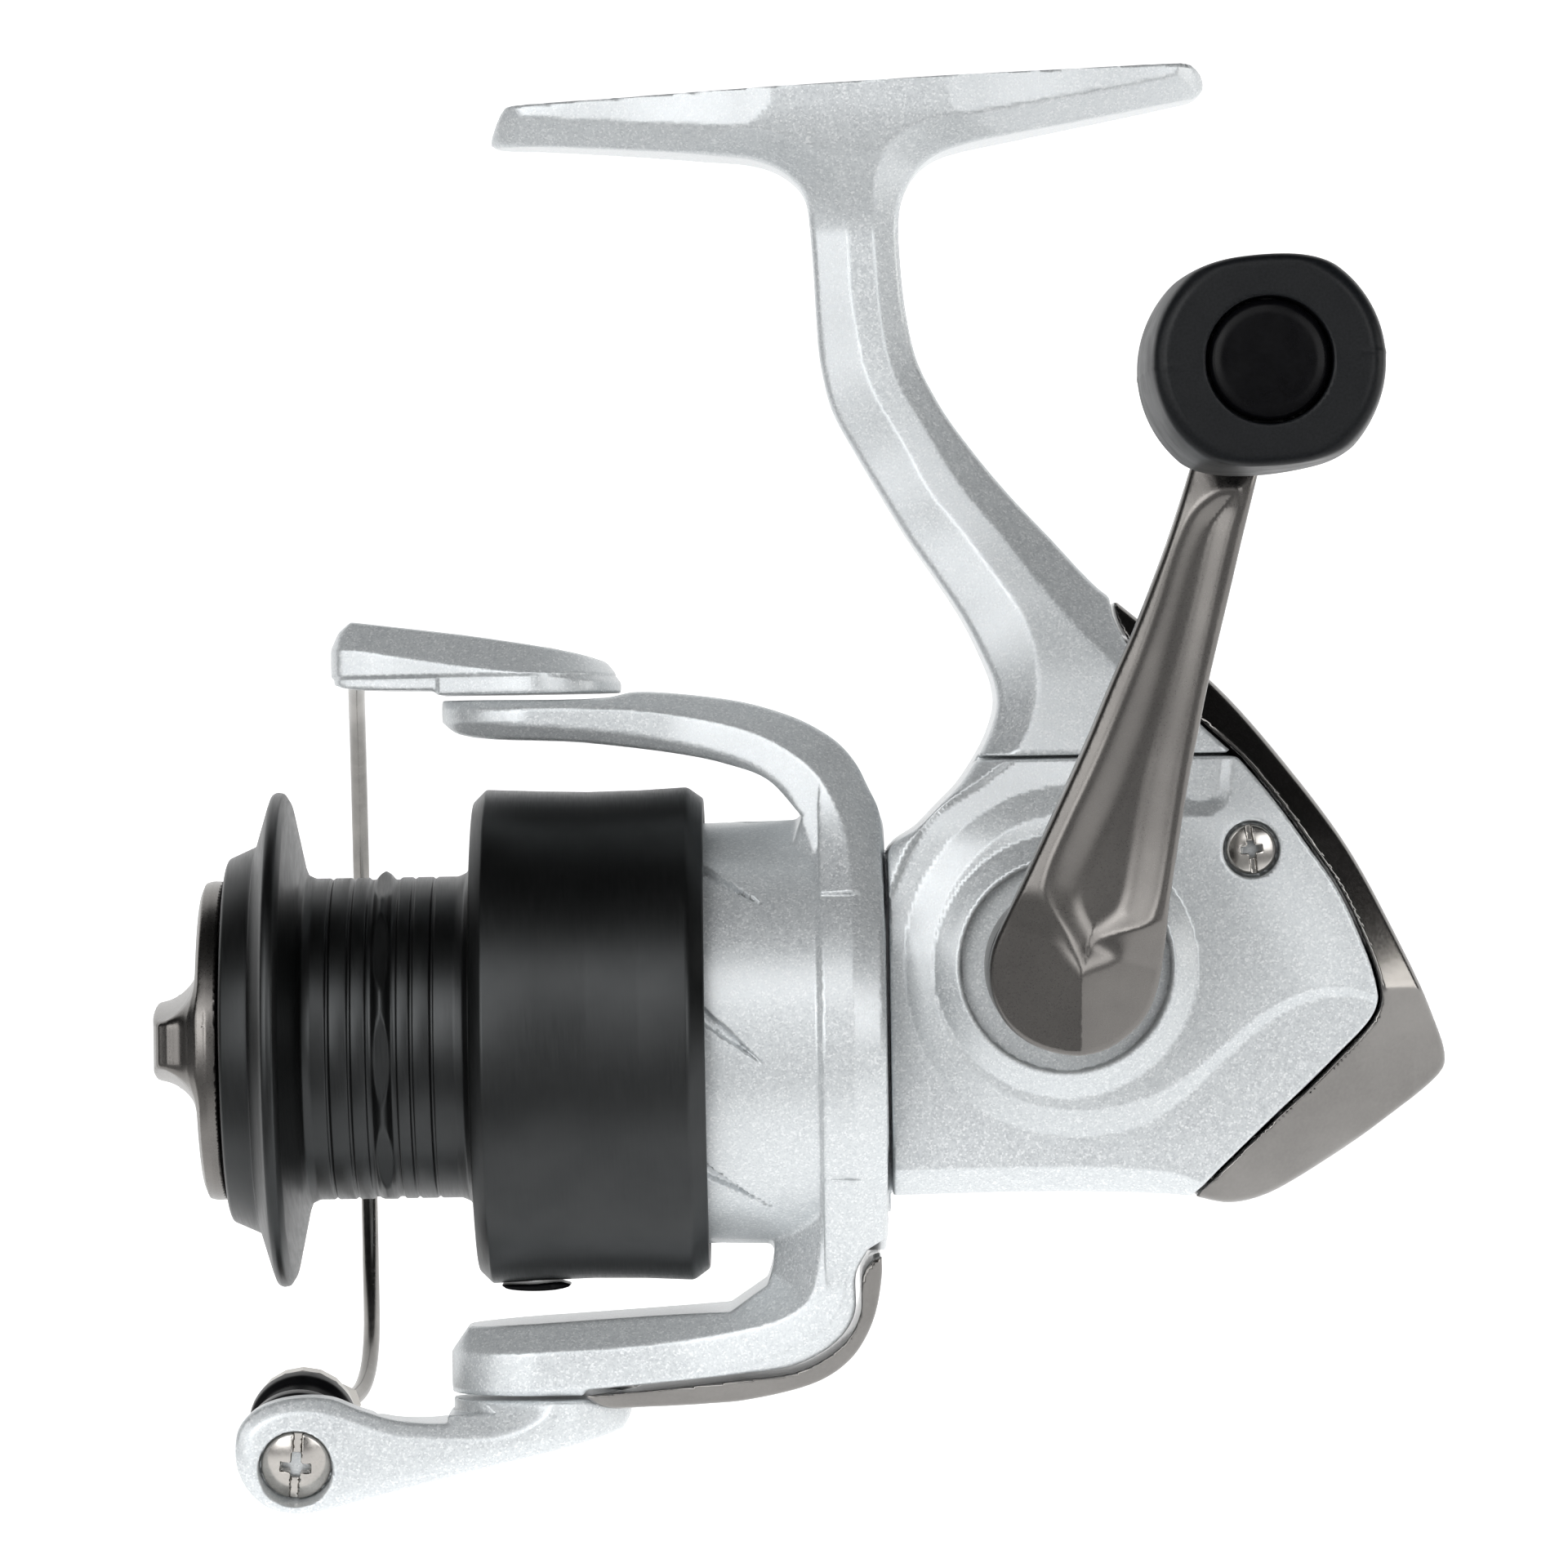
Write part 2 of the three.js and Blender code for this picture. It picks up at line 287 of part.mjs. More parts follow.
const knobCap = lathe([[-73.6, 0], [-73.6, 5.2], [-75.4, 5.2], [-75.9, 4.7], [-75.9, 0]], 28, "y", K);

// ---- rotor ----
const cup = lathe([[-28.0, 17.8], [-28.0, 19.4], [-9.6, ROTOR_R], [-7.2, ROTOR_REAR_R], [0, ROTOR_REAR_R], [0, 18.6], [-9.8, 18.6], [-9.8, 3.3], [-14.0, 3.3], [-14.0, 6.6], [-12.8, 6.6], [-12.8, 17.8], [-28.0, 17.8]], 36, "x");
const upperArmSide = [[-0.2, 15.0], [-0.1, 20.0], [-1.3, 23.0], [-2.3, 25.0], [-3.9, 26.9], [-6.8, 28.8], [-10.4, 30.2], [-14.2, 31.1], [-22.6, 32.2], [-23.4, ARM_TOP], [-40.8, ARM_TOP], [-40.8, 29.4], [-39.0, 28.2], [-27.6, 27.3], [-18.1, 26.0], [-14.3, 25.1], [-10.5, 23.6], [-7.4, 20.2], [-9.0, 15.0]];
const lowerArmSide = [[-0.2, -15.0], [-0.4, -18.9], [-1.9, -19.8], [-3.0, -21.9], [-3.2, -25.7], [-4.7, -28.1], [-8.5, -30.4], [-14.4, -31.3], [-28.0, -32.6], [-28.4, ARM_BOTTOM], [-41.0, ARM_BOTTOM], [-41.0, -29.4], [-39.1, -26.8], [-18.9, -25.8], [-14.7, -25.6], [-11.2, -23.2], [-9.4, -21.0], [-9.0, -15.0]];
const armPlan = (() => {
  const half = [];
  for (let i = 0; i <= 5; i++) {
    const t = (Math.PI / 2) * (i / 5);
    half.push([PIVOT_X - 8.7 * Math.cos(t), 8.6 * Math.sin(t) + (i === 0 ? 0.02 : 0)]);
  }
  half.push([-20, 8.8], [-8, 10.6], [0.2, 12.4]);
  return strip(half);
})();
const armFront = (s, top) => [[12.5, s * 13], [12.5, s * 22], [9.6, s * 27.5], [8.0, s * (top - 1.3)], [6.2, s * top], [-6.2, s * top], [-8.0, s * (top - 1.3)], [-9.6, s * 27.5], [-12.5, s * 22], [-12.5, s * 13]];
const upperArm = both(side(upperArmSide, -14, 14), plan(armPlan, 10, 34), front(armFront(1, 32.4), -42, 1));
const lowerArm = both(side(lowerArmSide, -14, 14), plan(armPlan, -36, -10), front(armFront(-1, 33.4), -42, 1));
let rotor = add(cup, upperArm, lowerArm);
rotor = cut(rotor, ring("x", -30, -12.9, 7.0, 17.79, 36), ring("x", -9.7, 1, 3.5, 18.59, 36));
const springRoom = block(-27.2, -7.0, -4.0, 4.0, -33.6, -28.6);
rotor = cut(rotor, springRoom, rod("z", 28.9, 33, 2.0, 16, [PIVOT_X, 0, 0]), rod("z", -34, -30.0, 2.0, 16, [PIVOT_X, 0, 0]), rod("z", -35, -24.0, 1.0, 12, [-14.0, 5.9, 0]));
// trip pin slot through the rear wall of the lower arm
const coverOuter = [[-28.2, -33.2], [-26.6, -34.3], [-22.4, -34.3], [-17.1, -34.1], [-12.8, -33.8], [-6.6, -32.1], [-3.7, -30.3], [-2.4, -28.4], [-1.5, -26.5], [-0.6, -21.6], [-0.6, -20.2], [-1.4, -20.6], [-2.4, -22.1], [-2.6, -25.8], [-4.2, -28.6], [-8.2, -31.05], [-14.3, -31.85], [-22.0, -32.65], [-28.0, -33.1]];
let armCover = both(side(coverOuter, -14, 14), plan(armPlan, -36, -10), front([[12.5, -13], [12.5, -22], [9.6, -28], [8.2, -32.6], [6.4, -34.4], [-6.4, -34.4], [-8.2, -32.6], [-9.6, -28], [-12.5, -22], [-12.5, -13]], -42, 1));
armCover = cut(armCover, rod("x", -10, 1, ROTOR_REAR_R + 0.35, 36), rod("z", -36, -33.2, 8.8, 28, [PIVOT_X, 0, 0]), rod("z", -36, -33.0, 1.7, 16, [-14.0, 5.9, 0]), rod("z", -36, -28, 1.0, 12, [-14.0, 5.9, 0]));
const armCoverScrew = cut(lathe([[-34.2, 0], [-34.2, 1.3], [-33.9, 1.55], [-33.2, 1.55], [-33.2, 0.8], [-26.5, 0.8], [-26.5, 0]], 16, "z", [-14.0, 5.9, 0]), block(-15, -13, 5.65, 6.15, -36, -33.7));
const springRodGuide = rod("x", -25.6, -12.6, 0.45, 8, [0, 1.2, -30.1]);
const bailSpring = coil("x", -24.6, -13.4, 1.0, 0.3, 5, [0, 1.2, -30.1]);
const tripLever = side([[-11.9, -30.8], [-11.9, -29.4], [-8.4, -28.9], [-7.6, -29.1], [-7.6, -29.7], [-9, -30.2]], -3.2, 3.2);

const pinion = (() => {
  const pts = [];
  for (let i = 0; i < PINION_TEETH; i++) {
    const c = (2 * Math.PI * i) / PINION_TEETH;
    for (const [r, w] of [[PINION_ROOT_R, -0.6], [PINION_TIP_R, -0.22], [PINION_TIP_R, 0.22], [PINION_ROOT_R, 0.6]]) {
      const a = c + w / r + Math.PI / 2;
      pts.push([r * Math.cos(a), r * Math.sin(a)]);
    }
  }
  const teeth = front(pts.map(([y, z]) => [-z, y]), -0.9, 4.6);
  const bodyP = lathe([[-17.4, 1.72], [-17.4, 2.9], [-0.8, 2.9], [-0.8, 2.2], [8.0, 2.2], [8.0, 1.72], [-17.4, 1.72]], 18, "x");
  return cut(add(teeth, bodyP), rod("x", -18, 9, 1.72, 18));
})();
const rotorNut = cut(front(circle(5.6, 6), -18.0, -14.4), rod("x", -19, -14, 3.1, 20));

// ---- bail ----
const PV = [PIVOT_X, 0, 0];
const leverSide = [[-51.7, 37.0], [-49.2, 38.9], [-44.6, 38.3], [-37.4, 37.3], [-28.0, 35.6], [-25.0, 34.7], [-23.9, 33.2], [-24.4, 31.9], [-40.9, 31.9], [-50.0, 32.6], [-51.5, 33.4]];
const leverPlan = (() => {
  const pts = [];
  for (let i = 0; i <= 9; i++) {
    const t = -Math.PI / 2 + (Math.PI * i) / 9;
    pts.push([PIVOT_X + 8.4 * Math.cos(t), 8.4 * Math.sin(t)]);
  }
  pts.push([-38, 7.4], [-44, 6.2], [-50.2, 5.6], [-51.6, 4.4], [-51.8, -0.8], [-50.6, -2.4], [-44, -4.6], [-38, -7.0]);
  return pts;
})();
const wirePath = [[-48.4, 2.0, 35.3], [-49.1, 8.0, 35.0], [-49.8, 18.0, 32.7], [-50.3, 28.0, 27.6], [-50.7, 36.6, 19.0], [-50.9, 41.6, 8.0], [-50.9, 42.5, -2.0], [-50.6, 40.2, -13.0], [-50.2, 34.2, -23.0], [-49.8, 26.0, -30.2], [-50.2, 18.5, -33.9], [-51.8, 12.5, -35.2], [-53.2, 9.4, -35.0]];
const wire = tube(wirePath, WIRE_R, 6, 32);
const wireRoom = tube(wirePath, WIRE_R + 0.35, 6, 32);
let lever = both(side(leverSide, -9, 9), plan(leverPlan, 31, 40));
lever = cut(lever, wireRoom, rod("z", 34.4, 40, 3.3, 20, PV), rod("z", 31, 36, 1.95, 16, PV));
const pivotUpper = cut(lathe([[28.9, 0], [28.9, 1.7], [34.6, 1.7], [34.6, 3.0], [36.0, 3.0], [36.4, 2.6], [36.4, 0]], 20, "z", PV), block(PIVOT_X - 1.9, PIVOT_X + 1.9, -0.35, 0.35, 35.7, 37));

const rdir = new THREE.Vector3(0, Math.cos(ROLLER.tilt), Math.sin(ROLLER.tilt));
// built along Y about the origin, then leaned and put on the roller axis
const lean = (s) => solid(geometryOf(s).rotateX(ROLLER.tilt).translate(ROLLER.x, ROLLER.y, ROLLER.z));
const rollerArmSide = [[-24.2, -33.5], [-24.2, -35.4], [-24.7, -36.6], [-30.4, -38.0], [-39.9, -40.2], [-47.5, -42.0], [-53.2, -43.4], [-55.1, -43.6], [-58.6, -42.3], [-60.4, -39.7], [-60.6, -37.4], [-60.1, -35.5], [-57.6, -33.6], [-54.5, -32.7], [-51.1, -32.8], [-49.3, -34.0], [-45.5, -35.3], [-41.0, -35.5], [-41.0, -33.5]];
const rollerArmPlan = (() => {
  const pts = [];
  for (let i = 0; i <= 9; i++) {
    const t = -Math.PI / 2 + (Math.PI * i) / 9;
    pts.push([PIVOT_X + 8.4 * Math.cos(t), 8.4 * Math.sin(t)]);
  }
  pts.push([-38, 6.6], [-41.5, 3.0], [-45.5, -1.6], [-49.0, -4.6], [-61, -5.0], [-61, -10.2], [-50, -9.8], [-40, -8.6]);
  return pts;
})();
let rollerArm = both(side(rollerArmSide, -12, 9), plan(rollerArmPlan, -45, -32));
rollerArm = cut(rollerArm, ring("z", -34.75, -32, 8.45, 16.5, 28, PV), lean(rod("y", -12, -8.2, 3.5, 20)), lean(rod("y", -12, 0, 1.5, 16)), lean(rod("y", -4.6, 6, 6.2, 20)), rod("z", -38.8, -33, 1.95, 14, PV), rod("z", -42, -35.8, 3.3, 18, PV));
const pivotLower = cut(lathe([[-30.0, 0], [-30.0, 1.7], [-36.1, 1.7], [-36.1, 3.0], [-37.6, 3.0], [-38.0, 2.6], [-38.0, 0]], 20, "z", PV), block(PIVOT_X - 1.9, PIVOT_X + 1.9, -0.35, 0.35, -39, -37.3));
const rollerScrew = lean(cut(lathe([[-9.6, 0], [-9.6, 2.6], [-9.0, 3.2], [-8.4, 3.2], [-8.4, 1.2], [6.6, 1.2], [6.6, 0]], 20, "y"), block(-2.0, 2.0, -10.5, -9.0, -0.35, 0.35), block(-0.35, 0.35, -10.5, -9.0, -2.0, 2.0)));
const rollerBearing = lean(bearing("y", -3.6, 3.2, 1.45, 3.0));
const roller = lean(lathe([[-4.0, 3.15], [-4.0, 5.0], [-3.4, 5.2], [-1.0, 4.0], [1.0, 4.0], [3.2, 5.0], [3.6, 4.8], [3.6, 3.15], [-4.0, 3.15]], 22, "y"));
const wireBoss = cut(add(lean(cut(lathe([[4.0, 0], [4.0, 4.9], [5.4, 4.8], [7.6, 3.6], [8.7, 2.0], [8.7, 0]], 18, "y"), rod("y", 3, 7.2, 1.5, 16))), tube([[-54.3, 6.0, -35.4], [-53.2, 9.4, -35.0], [-51.8, 12.5, -35.2]], 1.9, 8, 4)), wireRoom, lean(rod("y", 3, 7.2, 1.5, 16)));

// ---- shaft group ----
const shaft = cut(rod("x", -64.2, 29.4, SHAFT_R, 16), rod("x", 25.2, 30, 0.8, 10));
const sliderPts = [[-1.9, -3.0], [6.6, -3.0], [6.6, 3.0], [-1.9, 3.0]];
let slider = add(front(sliderPts, 29.7, 33.9), block(31.0, 33.9, 3.3, 6.4, -10.0, 10.9));
slider = cut(slider, rod("x", 28, 37, 1.2, 12, [0, ROD_Y, ROD_UP]), rod("x", 28, 37, 1.2, 12, [0, ROD_Y, ROD_LOW]), rod("x", 28, 37, 0.95, 10), block(31.4, 33.5, 5.0, 7, -7.35, 7.35));
const sliderScrew = lathe([[25.8, 0], [25.8, 0.6], [34.2, 0.6], [34.2, 1.6], [35.2, 1.6], [35.2, 0]], 12, "x");
const clickGear = (() => {
  const pts = [];
  for (let i = 0; i < 24; i++) {
    const r = i % 2 ? 5.4 : 6.2, a = (2 * Math.PI * i) / 24;
    pts.push([r * Math.cos(a), r * Math.sin(a)]);
  }
  return cut(front(pts, -34.2, -32.8), rod("x", -35, -32, 1.75, 20));
})();




// ---- spool ----
const spoolProfile = [
  [-61.0, 11.4], [-61.0, 16.9], [-58.3, 18.0], [-57.0, 22.2], [-56.4, SPOOL_LIP_R], [-55.5, 22.8], [-54.3, 18.0], [-53.5, ARBOR_R],
  [-47.3, ARBOR_R], [-47.0, 15.4], [-45.5, 15.4], [-45.2, ARBOR_R], [-39.0, ARBOR_R], [-38.1, 17.0],
  [-38.0, 21.8], [-36.5, SKIRT_R], [-27.3, 22.68], [-18.0, SKIRT_R], [-16.5, 22.0], [-16.5, 21.3],
  [-36.2, 21.1], [-36.2, 16.0], [-39.6, 13.2], [-48.0, 13.2], [-48.0, 6.0], [-34.5, 6.0], [-34.5, 2.0], [-50.2, 2.0], [-50.2, 10.8], [-60.2, 10.8], [-61.0, 11.4],
];
const spool = lathe(spoolProfile, 32, "x");
const clip = both(add(block(-36.0, -29.6, -2.6, 2.6, -24.0, -23.3), block(-32.2, -30.6, -0.9, 0.9, -23.5, -22.9)), block(-40, -28, -3, 3, -24.3, -22.95));
const washer = (x0, x1, rIn, rOut, n = 20) => ring("x", x0, x1, rIn, rOut, n);
const washerEar = (x0, x1) => cut(add(rod("x", x0, x1, 9.6, 24), block(x0, x1, -1.6, 1.6, -10.5, 10.5)), rod("x", x0 - 1, x1 + 1, 2.6, 16));
const washerKey = (x0, x1) => cut(rod("x", x0, x1, 9.6, 24), rod("x", x0 - 1, x1 + 1, 1.8, 16));
const drag1 = washer(-51.5, -50.5, 2.6, 10.2), drag2 = washerKey(-52.6, -51.8), drag3 = washer(-53.9, -52.9, 2.6, 10.2), drag4 = washerEar(-55.0, -54.2);
const clipRing = (() => {
  const r = ring("x", -58.2, -57.7, 8.9, 10.5, 28);
  return cut(r, block(-59, -57, -1.2, 1.2, -12, -8));
})();

// ---- drag knob ----
const knobBase = lathe([[-63.9, 0], [-63.9, 6.0], [-63.6, 12.6], [-62.9, 14.9], [-61.8, 15.0], [-61.3, 14.6], [-61.3, 10.2], [-58.7, 10.0], [-58.7, 8.7], [-60.6, 8.7], [-61.8, 7.6], [-61.8, 0]], 28, "x");
const wing = both(
  front([[-13.6, -1.9], [-11.5, -2.3], [-6, -3.5], [0, -4.0], [6, -3.5], [11.5, -2.3], [13.6, -1.9], [13.6, 1.9], [11.5, 2.3], [6, 3.5], [0, 4.0], [-6, 3.5], [-11.5, 2.3], [-13.6, 1.9]], -69, -63),
  lathe([[-68.2, 0], [-68.2, 3.0], [-67.4, 9.5], [-66.0, 12.6], [-63.0, 14.2], [-63.0, 0]], 28, "x"),
);
const wingFoot = both(front([[-14.4, -3.6], [-6, -4.9], [6, -4.9], [14.4, -3.6], [14.4, 3.6], [6, 4.9], [-6, 4.9], [-14.4, 3.6]], -65, -63), lathe([[-64.6, 0], [-64.6, 12.8], [-63.7, 13.7], [-63.0, 14.4], [-63.0, 0]], 28, "x"));
const dragKnob = cut(add(knobBase, wing, wingFoot), rod("x", -65.6, -60, 4.5, 20), rod("x", -62.2, -60, 6.6, 24));
const dragNut = cut(add(front(circle(4.2, 6), -65.3, -60.6)), rod("x", -64.7, -60, 1.75, 18));
const dragSpring = coil("x", -60.0, -58.0, 4.0, 0.35, 3, box3);

// ---- assembly ----
const LOOKS = {
  pearl_paint: [0xd9dedf, 0.35, 0.25], gunmetal_gloss: [0x55524e, 0.18, 0.9], gunmetal_satin: [0x8b8680, 0.4, 0.85], graphite_anodised: [0x4a4c4b, 0.35, 0.8], knob_rubber: [0x1f2426, 0.6, 0.0], black_gloss: [0x15171a, 0.2, 0.0], nickel_screw: [0x8f9091, 0.3, 0.95], stainless: [0xb9bcbe, 0.28, 0.95], brass: [0xb08d4a, 0.35, 0.9], zinc_gear: [0x9a9da0, 0.45, 0.85], drag_felt: [0x3a3d33, 0.95, 0.0], black_ceramic: [0x17181a, 0.15, 0.2],
};
const root = new THREE.Group();
root.name = "spinning_reel";
const mech = new THREE.Group();
mech.name = "mechanism";
mech.rotation.y = SHAFT_TILT;
mech.position.set(-(SEAT_X * Math.cos(SHAFT_TILT) + SEAT_Z * Math.sin(SHAFT_TILT)), 0, -(-SEAT_X * Math.sin(SHAFT_TILT) + SEAT_Z * Math.cos(SHAFT_TILT)));
root.add(mech);
const group = (name) => {
  const g = new THREE.Group();
  g.name = name;
  mech.add(g);
  return g;
};
function put(parent, name, s, look) {
  const [color, roughness, metalness] = LOOKS[look];
  const mesh = new THREE.Mesh(geometryOf(s), new THREE.MeshStandardMaterial({ color, roughness, metalness }));
  mesh.name = name;
  parent.add(mesh);
}
const gHousing = group("g_housing");
put(gHousing, "frame_body", frame, "pearl_paint");
put(gHousing, "side_cover", cover, "pearl_paint");
put(gHousing, "rear_cover", rearCover, "gunmetal_gloss");
put(gHousing, "side_cover_screw_rear", coverScrewRear, "nickel_screw");
put(gHousing, "side_cover_screw_front", coverScrewFront, "nickel_screw");
put(gHousing, "rear_cover_screw", rearScrew, "nickel_screw");
put(gHousing, "drive_bearing_near", nearBearing, "stainless");
put(gHousing, "drive_bearing_far", farBearing, "stainless");
put(gHousing, "pinion_bearing", pinionBearing, "stainless");
put(gHousing, "pinion_rear_bushing", rearBush, "brass");
put(gHousing, "bearing_retainer", retainer, "stainless");
put(gHousing, "roller_clutch", clutch, "black_gloss");
put(gHousing, "guide_rod_upper", guideRodUp, "stainless");
put(gHousing, "guide_rod_lower", guideRodLow, "stainless");
put(gHousing, "dust_cap", dustCap, "gunmetal_satin");
put(gHousing, "oscillation_gear_screw", oscScrew, "nickel_screw");
const gCrank = group("g_crank");
put(gCrank, "drive_gear", gear, "zinc_gear");
put(gCrank, "oscillation_pinion", oscPinion, "brass");
put(gCrank, "handle_collar", collar, "gunmetal_satin");
put(gCrank, "handle_arm", handleArm, "gunmetal_satin");
put(gCrank, "knob_spindle", spindle, "stainless");
const gKnob = group("g_knob");
put(gKnob, "knob_grip", grip, "knob_rubber");
put(gKnob, "knob_bearing", knobBearing, "stainless");
put(gKnob, "knob_bushing", knobBush, "brass");
put(gKnob, "knob_end_cap", knobCap, "black_gloss");
const gOsc = group("g_oscillation");
put(gOsc, "oscillation_gear", oscGear, "zinc_gear");
const gRotor = group("g_rotor");
put(gRotor, "rotor", rotor, "pearl_paint");
put(gRotor, "pinion_gear", pinion, "brass");
put(gRotor, "rotor_nut", rotorNut, "stainless");
put(gRotor, "clutch_sleeve", clutchSleeve, "stainless");
put(gRotor, "arm_cover", armCover, "gunmetal_gloss");
put(gRotor, "arm_cover_screw", armCoverScrew, "nickel_screw");
put(gRotor, "bail_spring", bailSpring, "stainless");
put(gRotor, "bail_spring_guide", springRodGuide, "stainless");
put(gRotor, "bail_trip_lever", tripLever, "black_gloss");
const gBail = group("g_bail");
put(gBail, "bail_lever", lever, "pearl_paint");
put(gBail, "line_roller_arm", rollerArm, "pearl_paint");
put(gBail, "bail_wire", wire, "stainless");
put(gBail, "wire_boss", wireBoss, "gunmetal_satin");
put(gBail, "roller_screw", rollerScrew, "nickel_screw");
put(gBail, "roller_bearing", rollerBearing, "stainless");
put(gBail, "pivot_screw_upper", pivotUpper, "nickel_screw");
put(gBail, "pivot_screw_lower", pivotLower, "nickel_screw");
const gRoller = group("g_line_roller");
put(gRoller, "line_roller", roller, "black_ceramic");
const gShaft = group("g_shaft");
put(gShaft, "main_shaft", shaft, "stainless");
put(gShaft, "oscillation_slider", slider, "zinc_gear");
put(gShaft, "slider_screw", sliderScrew, "nickel_screw");
put(gShaft, "click_gear", clickGear, "black_gloss");

const gSpool = group("g_spool");
put(gSpool, "spool", spool, "graphite_anodised");
put(gSpool, "line_clip", clip, "black_gloss");
put(gSpool, "drag_washer_1", drag1, "drag_felt");
put(gShaft, "drag_washer_2", drag2, "stainless");
put(gSpool, "drag_washer_3", drag3, "drag_felt");
put(gSpool, "drag_washer_4", drag4, "stainless");


put(gSpool, "drag_retainer_clip", clipRing, "stainless");
const gDrag = group("g_drag_knob");
put(gDrag, "drag_knob", dragKnob, "gunmetal_satin");
put(gDrag, "drag_nut", dragNut, "brass");
put(gDrag, "drag_spring", dragSpring, "stainless");

export default root;
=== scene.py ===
import bpy, bmesh, math, json
import numpy as np
from mathutils import Vector, Matrix


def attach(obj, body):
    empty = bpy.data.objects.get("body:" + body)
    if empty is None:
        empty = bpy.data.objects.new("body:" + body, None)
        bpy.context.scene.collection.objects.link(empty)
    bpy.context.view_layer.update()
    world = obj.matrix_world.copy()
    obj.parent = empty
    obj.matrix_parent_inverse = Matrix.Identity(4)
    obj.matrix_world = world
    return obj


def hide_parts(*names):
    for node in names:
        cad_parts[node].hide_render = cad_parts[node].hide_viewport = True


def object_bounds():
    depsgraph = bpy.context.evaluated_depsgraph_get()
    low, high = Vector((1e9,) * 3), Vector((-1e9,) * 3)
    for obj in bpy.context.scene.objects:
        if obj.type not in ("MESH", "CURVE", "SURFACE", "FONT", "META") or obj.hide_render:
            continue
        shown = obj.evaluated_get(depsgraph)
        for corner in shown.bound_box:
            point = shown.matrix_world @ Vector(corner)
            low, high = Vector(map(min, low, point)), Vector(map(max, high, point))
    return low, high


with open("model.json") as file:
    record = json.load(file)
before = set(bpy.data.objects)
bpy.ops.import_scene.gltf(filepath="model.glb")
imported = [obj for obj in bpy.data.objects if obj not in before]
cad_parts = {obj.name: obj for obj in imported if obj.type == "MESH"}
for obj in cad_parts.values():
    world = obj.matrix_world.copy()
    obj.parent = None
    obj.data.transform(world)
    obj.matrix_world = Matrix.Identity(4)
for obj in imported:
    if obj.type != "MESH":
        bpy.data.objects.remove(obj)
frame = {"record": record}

CAD_BOX = [[float(c) for c in corner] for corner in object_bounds()]

# ---------------------------------------------------------------- frames
# Pieces are drawn in millimetres in the mechanism frame (X along the main shaft towards the rear, Z towards the foot,
# the handle at -Y) and written to their meshes in metres in the row frame.
TILT = math.radians(2.75)
CT, ST = math.cos(TILT), math.sin(TILT)
SEAT_X, SEAT_Z = -1.3, 88.1
CRANK_X, CRANK_Z = 16.6, 6.1
KNOB_X, KNOB_Z = 32.1, 57.9
PIVOT_X = -32.2
ROLLER_X, ROLLER_Z, ROLLER_TILT = -55.0, -36.9, math.radians(14)
ARM_A = math.atan2(KNOB_Z - CRANK_Z, KNOB_X - CRANK_X)


def to_row(P):
    x, y, z = P[:, 0] - SEAT_X, P[:, 1], P[:, 2] - SEAT_Z
    return np.stack([x * CT + z * ST, y, -x * ST + z * CT], 1) * 0.001


def turn_row(N):
    x, y, z = N[:, 0], N[:, 1], N[:, 2]
    return np.stack([x * CT + z * ST, y, -x * ST + z * CT], 1)


def mesh_piece(name, P, faces, normals=None):
    me = bpy.data.meshes.new(name)
    me.from_pydata(np.clip(to_row(np.asarray(P, float)), np.array(CAD_BOX[0]) + 2e-6, np.array(CAD_BOX[1]) - 2e-6).tolist(), [], faces.tolist() if hasattr(faces, "tolist") else faces)
    me.validate(verbose=False)
    me.polygons.foreach_set("use_smooth", np.ones(len(me.polygons), bool))
    me.update()
    if normals is not None and len(normals) == len(me.vertices):
        me.normals_split_custom_set_from_vertices(turn_row(np.asarray(normals, float)).tolist())
    ob = bpy.data.objects.new(name, me)
    bpy.context.scene.collection.objects.link(ob)
    return ob


# ---------------------------------------------------------------- outlines and smooth fields
def outline(pts, sharp=38.0, per=6, curve=True):
    """A closed outline as a dense polyline: a smooth curve through its points, with real corners kept."""
    P = np.array(pts, float)
    n = len(P)
    if not curve:
        return P
    a = P - np.roll(P, 1, 0)
    b = np.roll(P, -1, 0) - P
    turn = np.degrees(np.abs(np.arctan2(a[:, 0] * b[:, 1] - a[:, 1] * b[:, 0], (a * b).sum(1))))
    corner = turn > sharp
    out = []
    for i in range(n):
        p1, p2 = P[i], P[(i + 1) % n]
        p0 = P[i - 1] if not corner[i] else 2 * p1 - p2
        p3 = P[(i + 2) % n] if not corner[(i + 1) % n] else 2 * p2 - p1
        L = np.linalg.norm(p2 - p1)
        m = max(1, min(per, int(L / 0.5)))
        d01, d12, d23 = (max(1e-6, np.linalg.norm(q) ** 0.5) for q in (p1 - p0, p2 - p1, p3 - p2))
        m1 = (p2 - p1) + d12 * ((p1 - p0) / d01 - (p2 - p0) / (d01 + d12))
        m2 = (p2 - p1) + d12 * ((p3 - p2) / d23 - (p3 - p1) / (d12 + d23))
        for k in range(m):
            t = k / m
            out.append((2 * t**3 - 3 * t**2 + 1) * p1 + (t**3 - 2 * t**2 + t) * m1 + (-2 * t**3 + 3 * t**2) * p2 + (t**3 - t**2) * m2)
    return np.array(out)


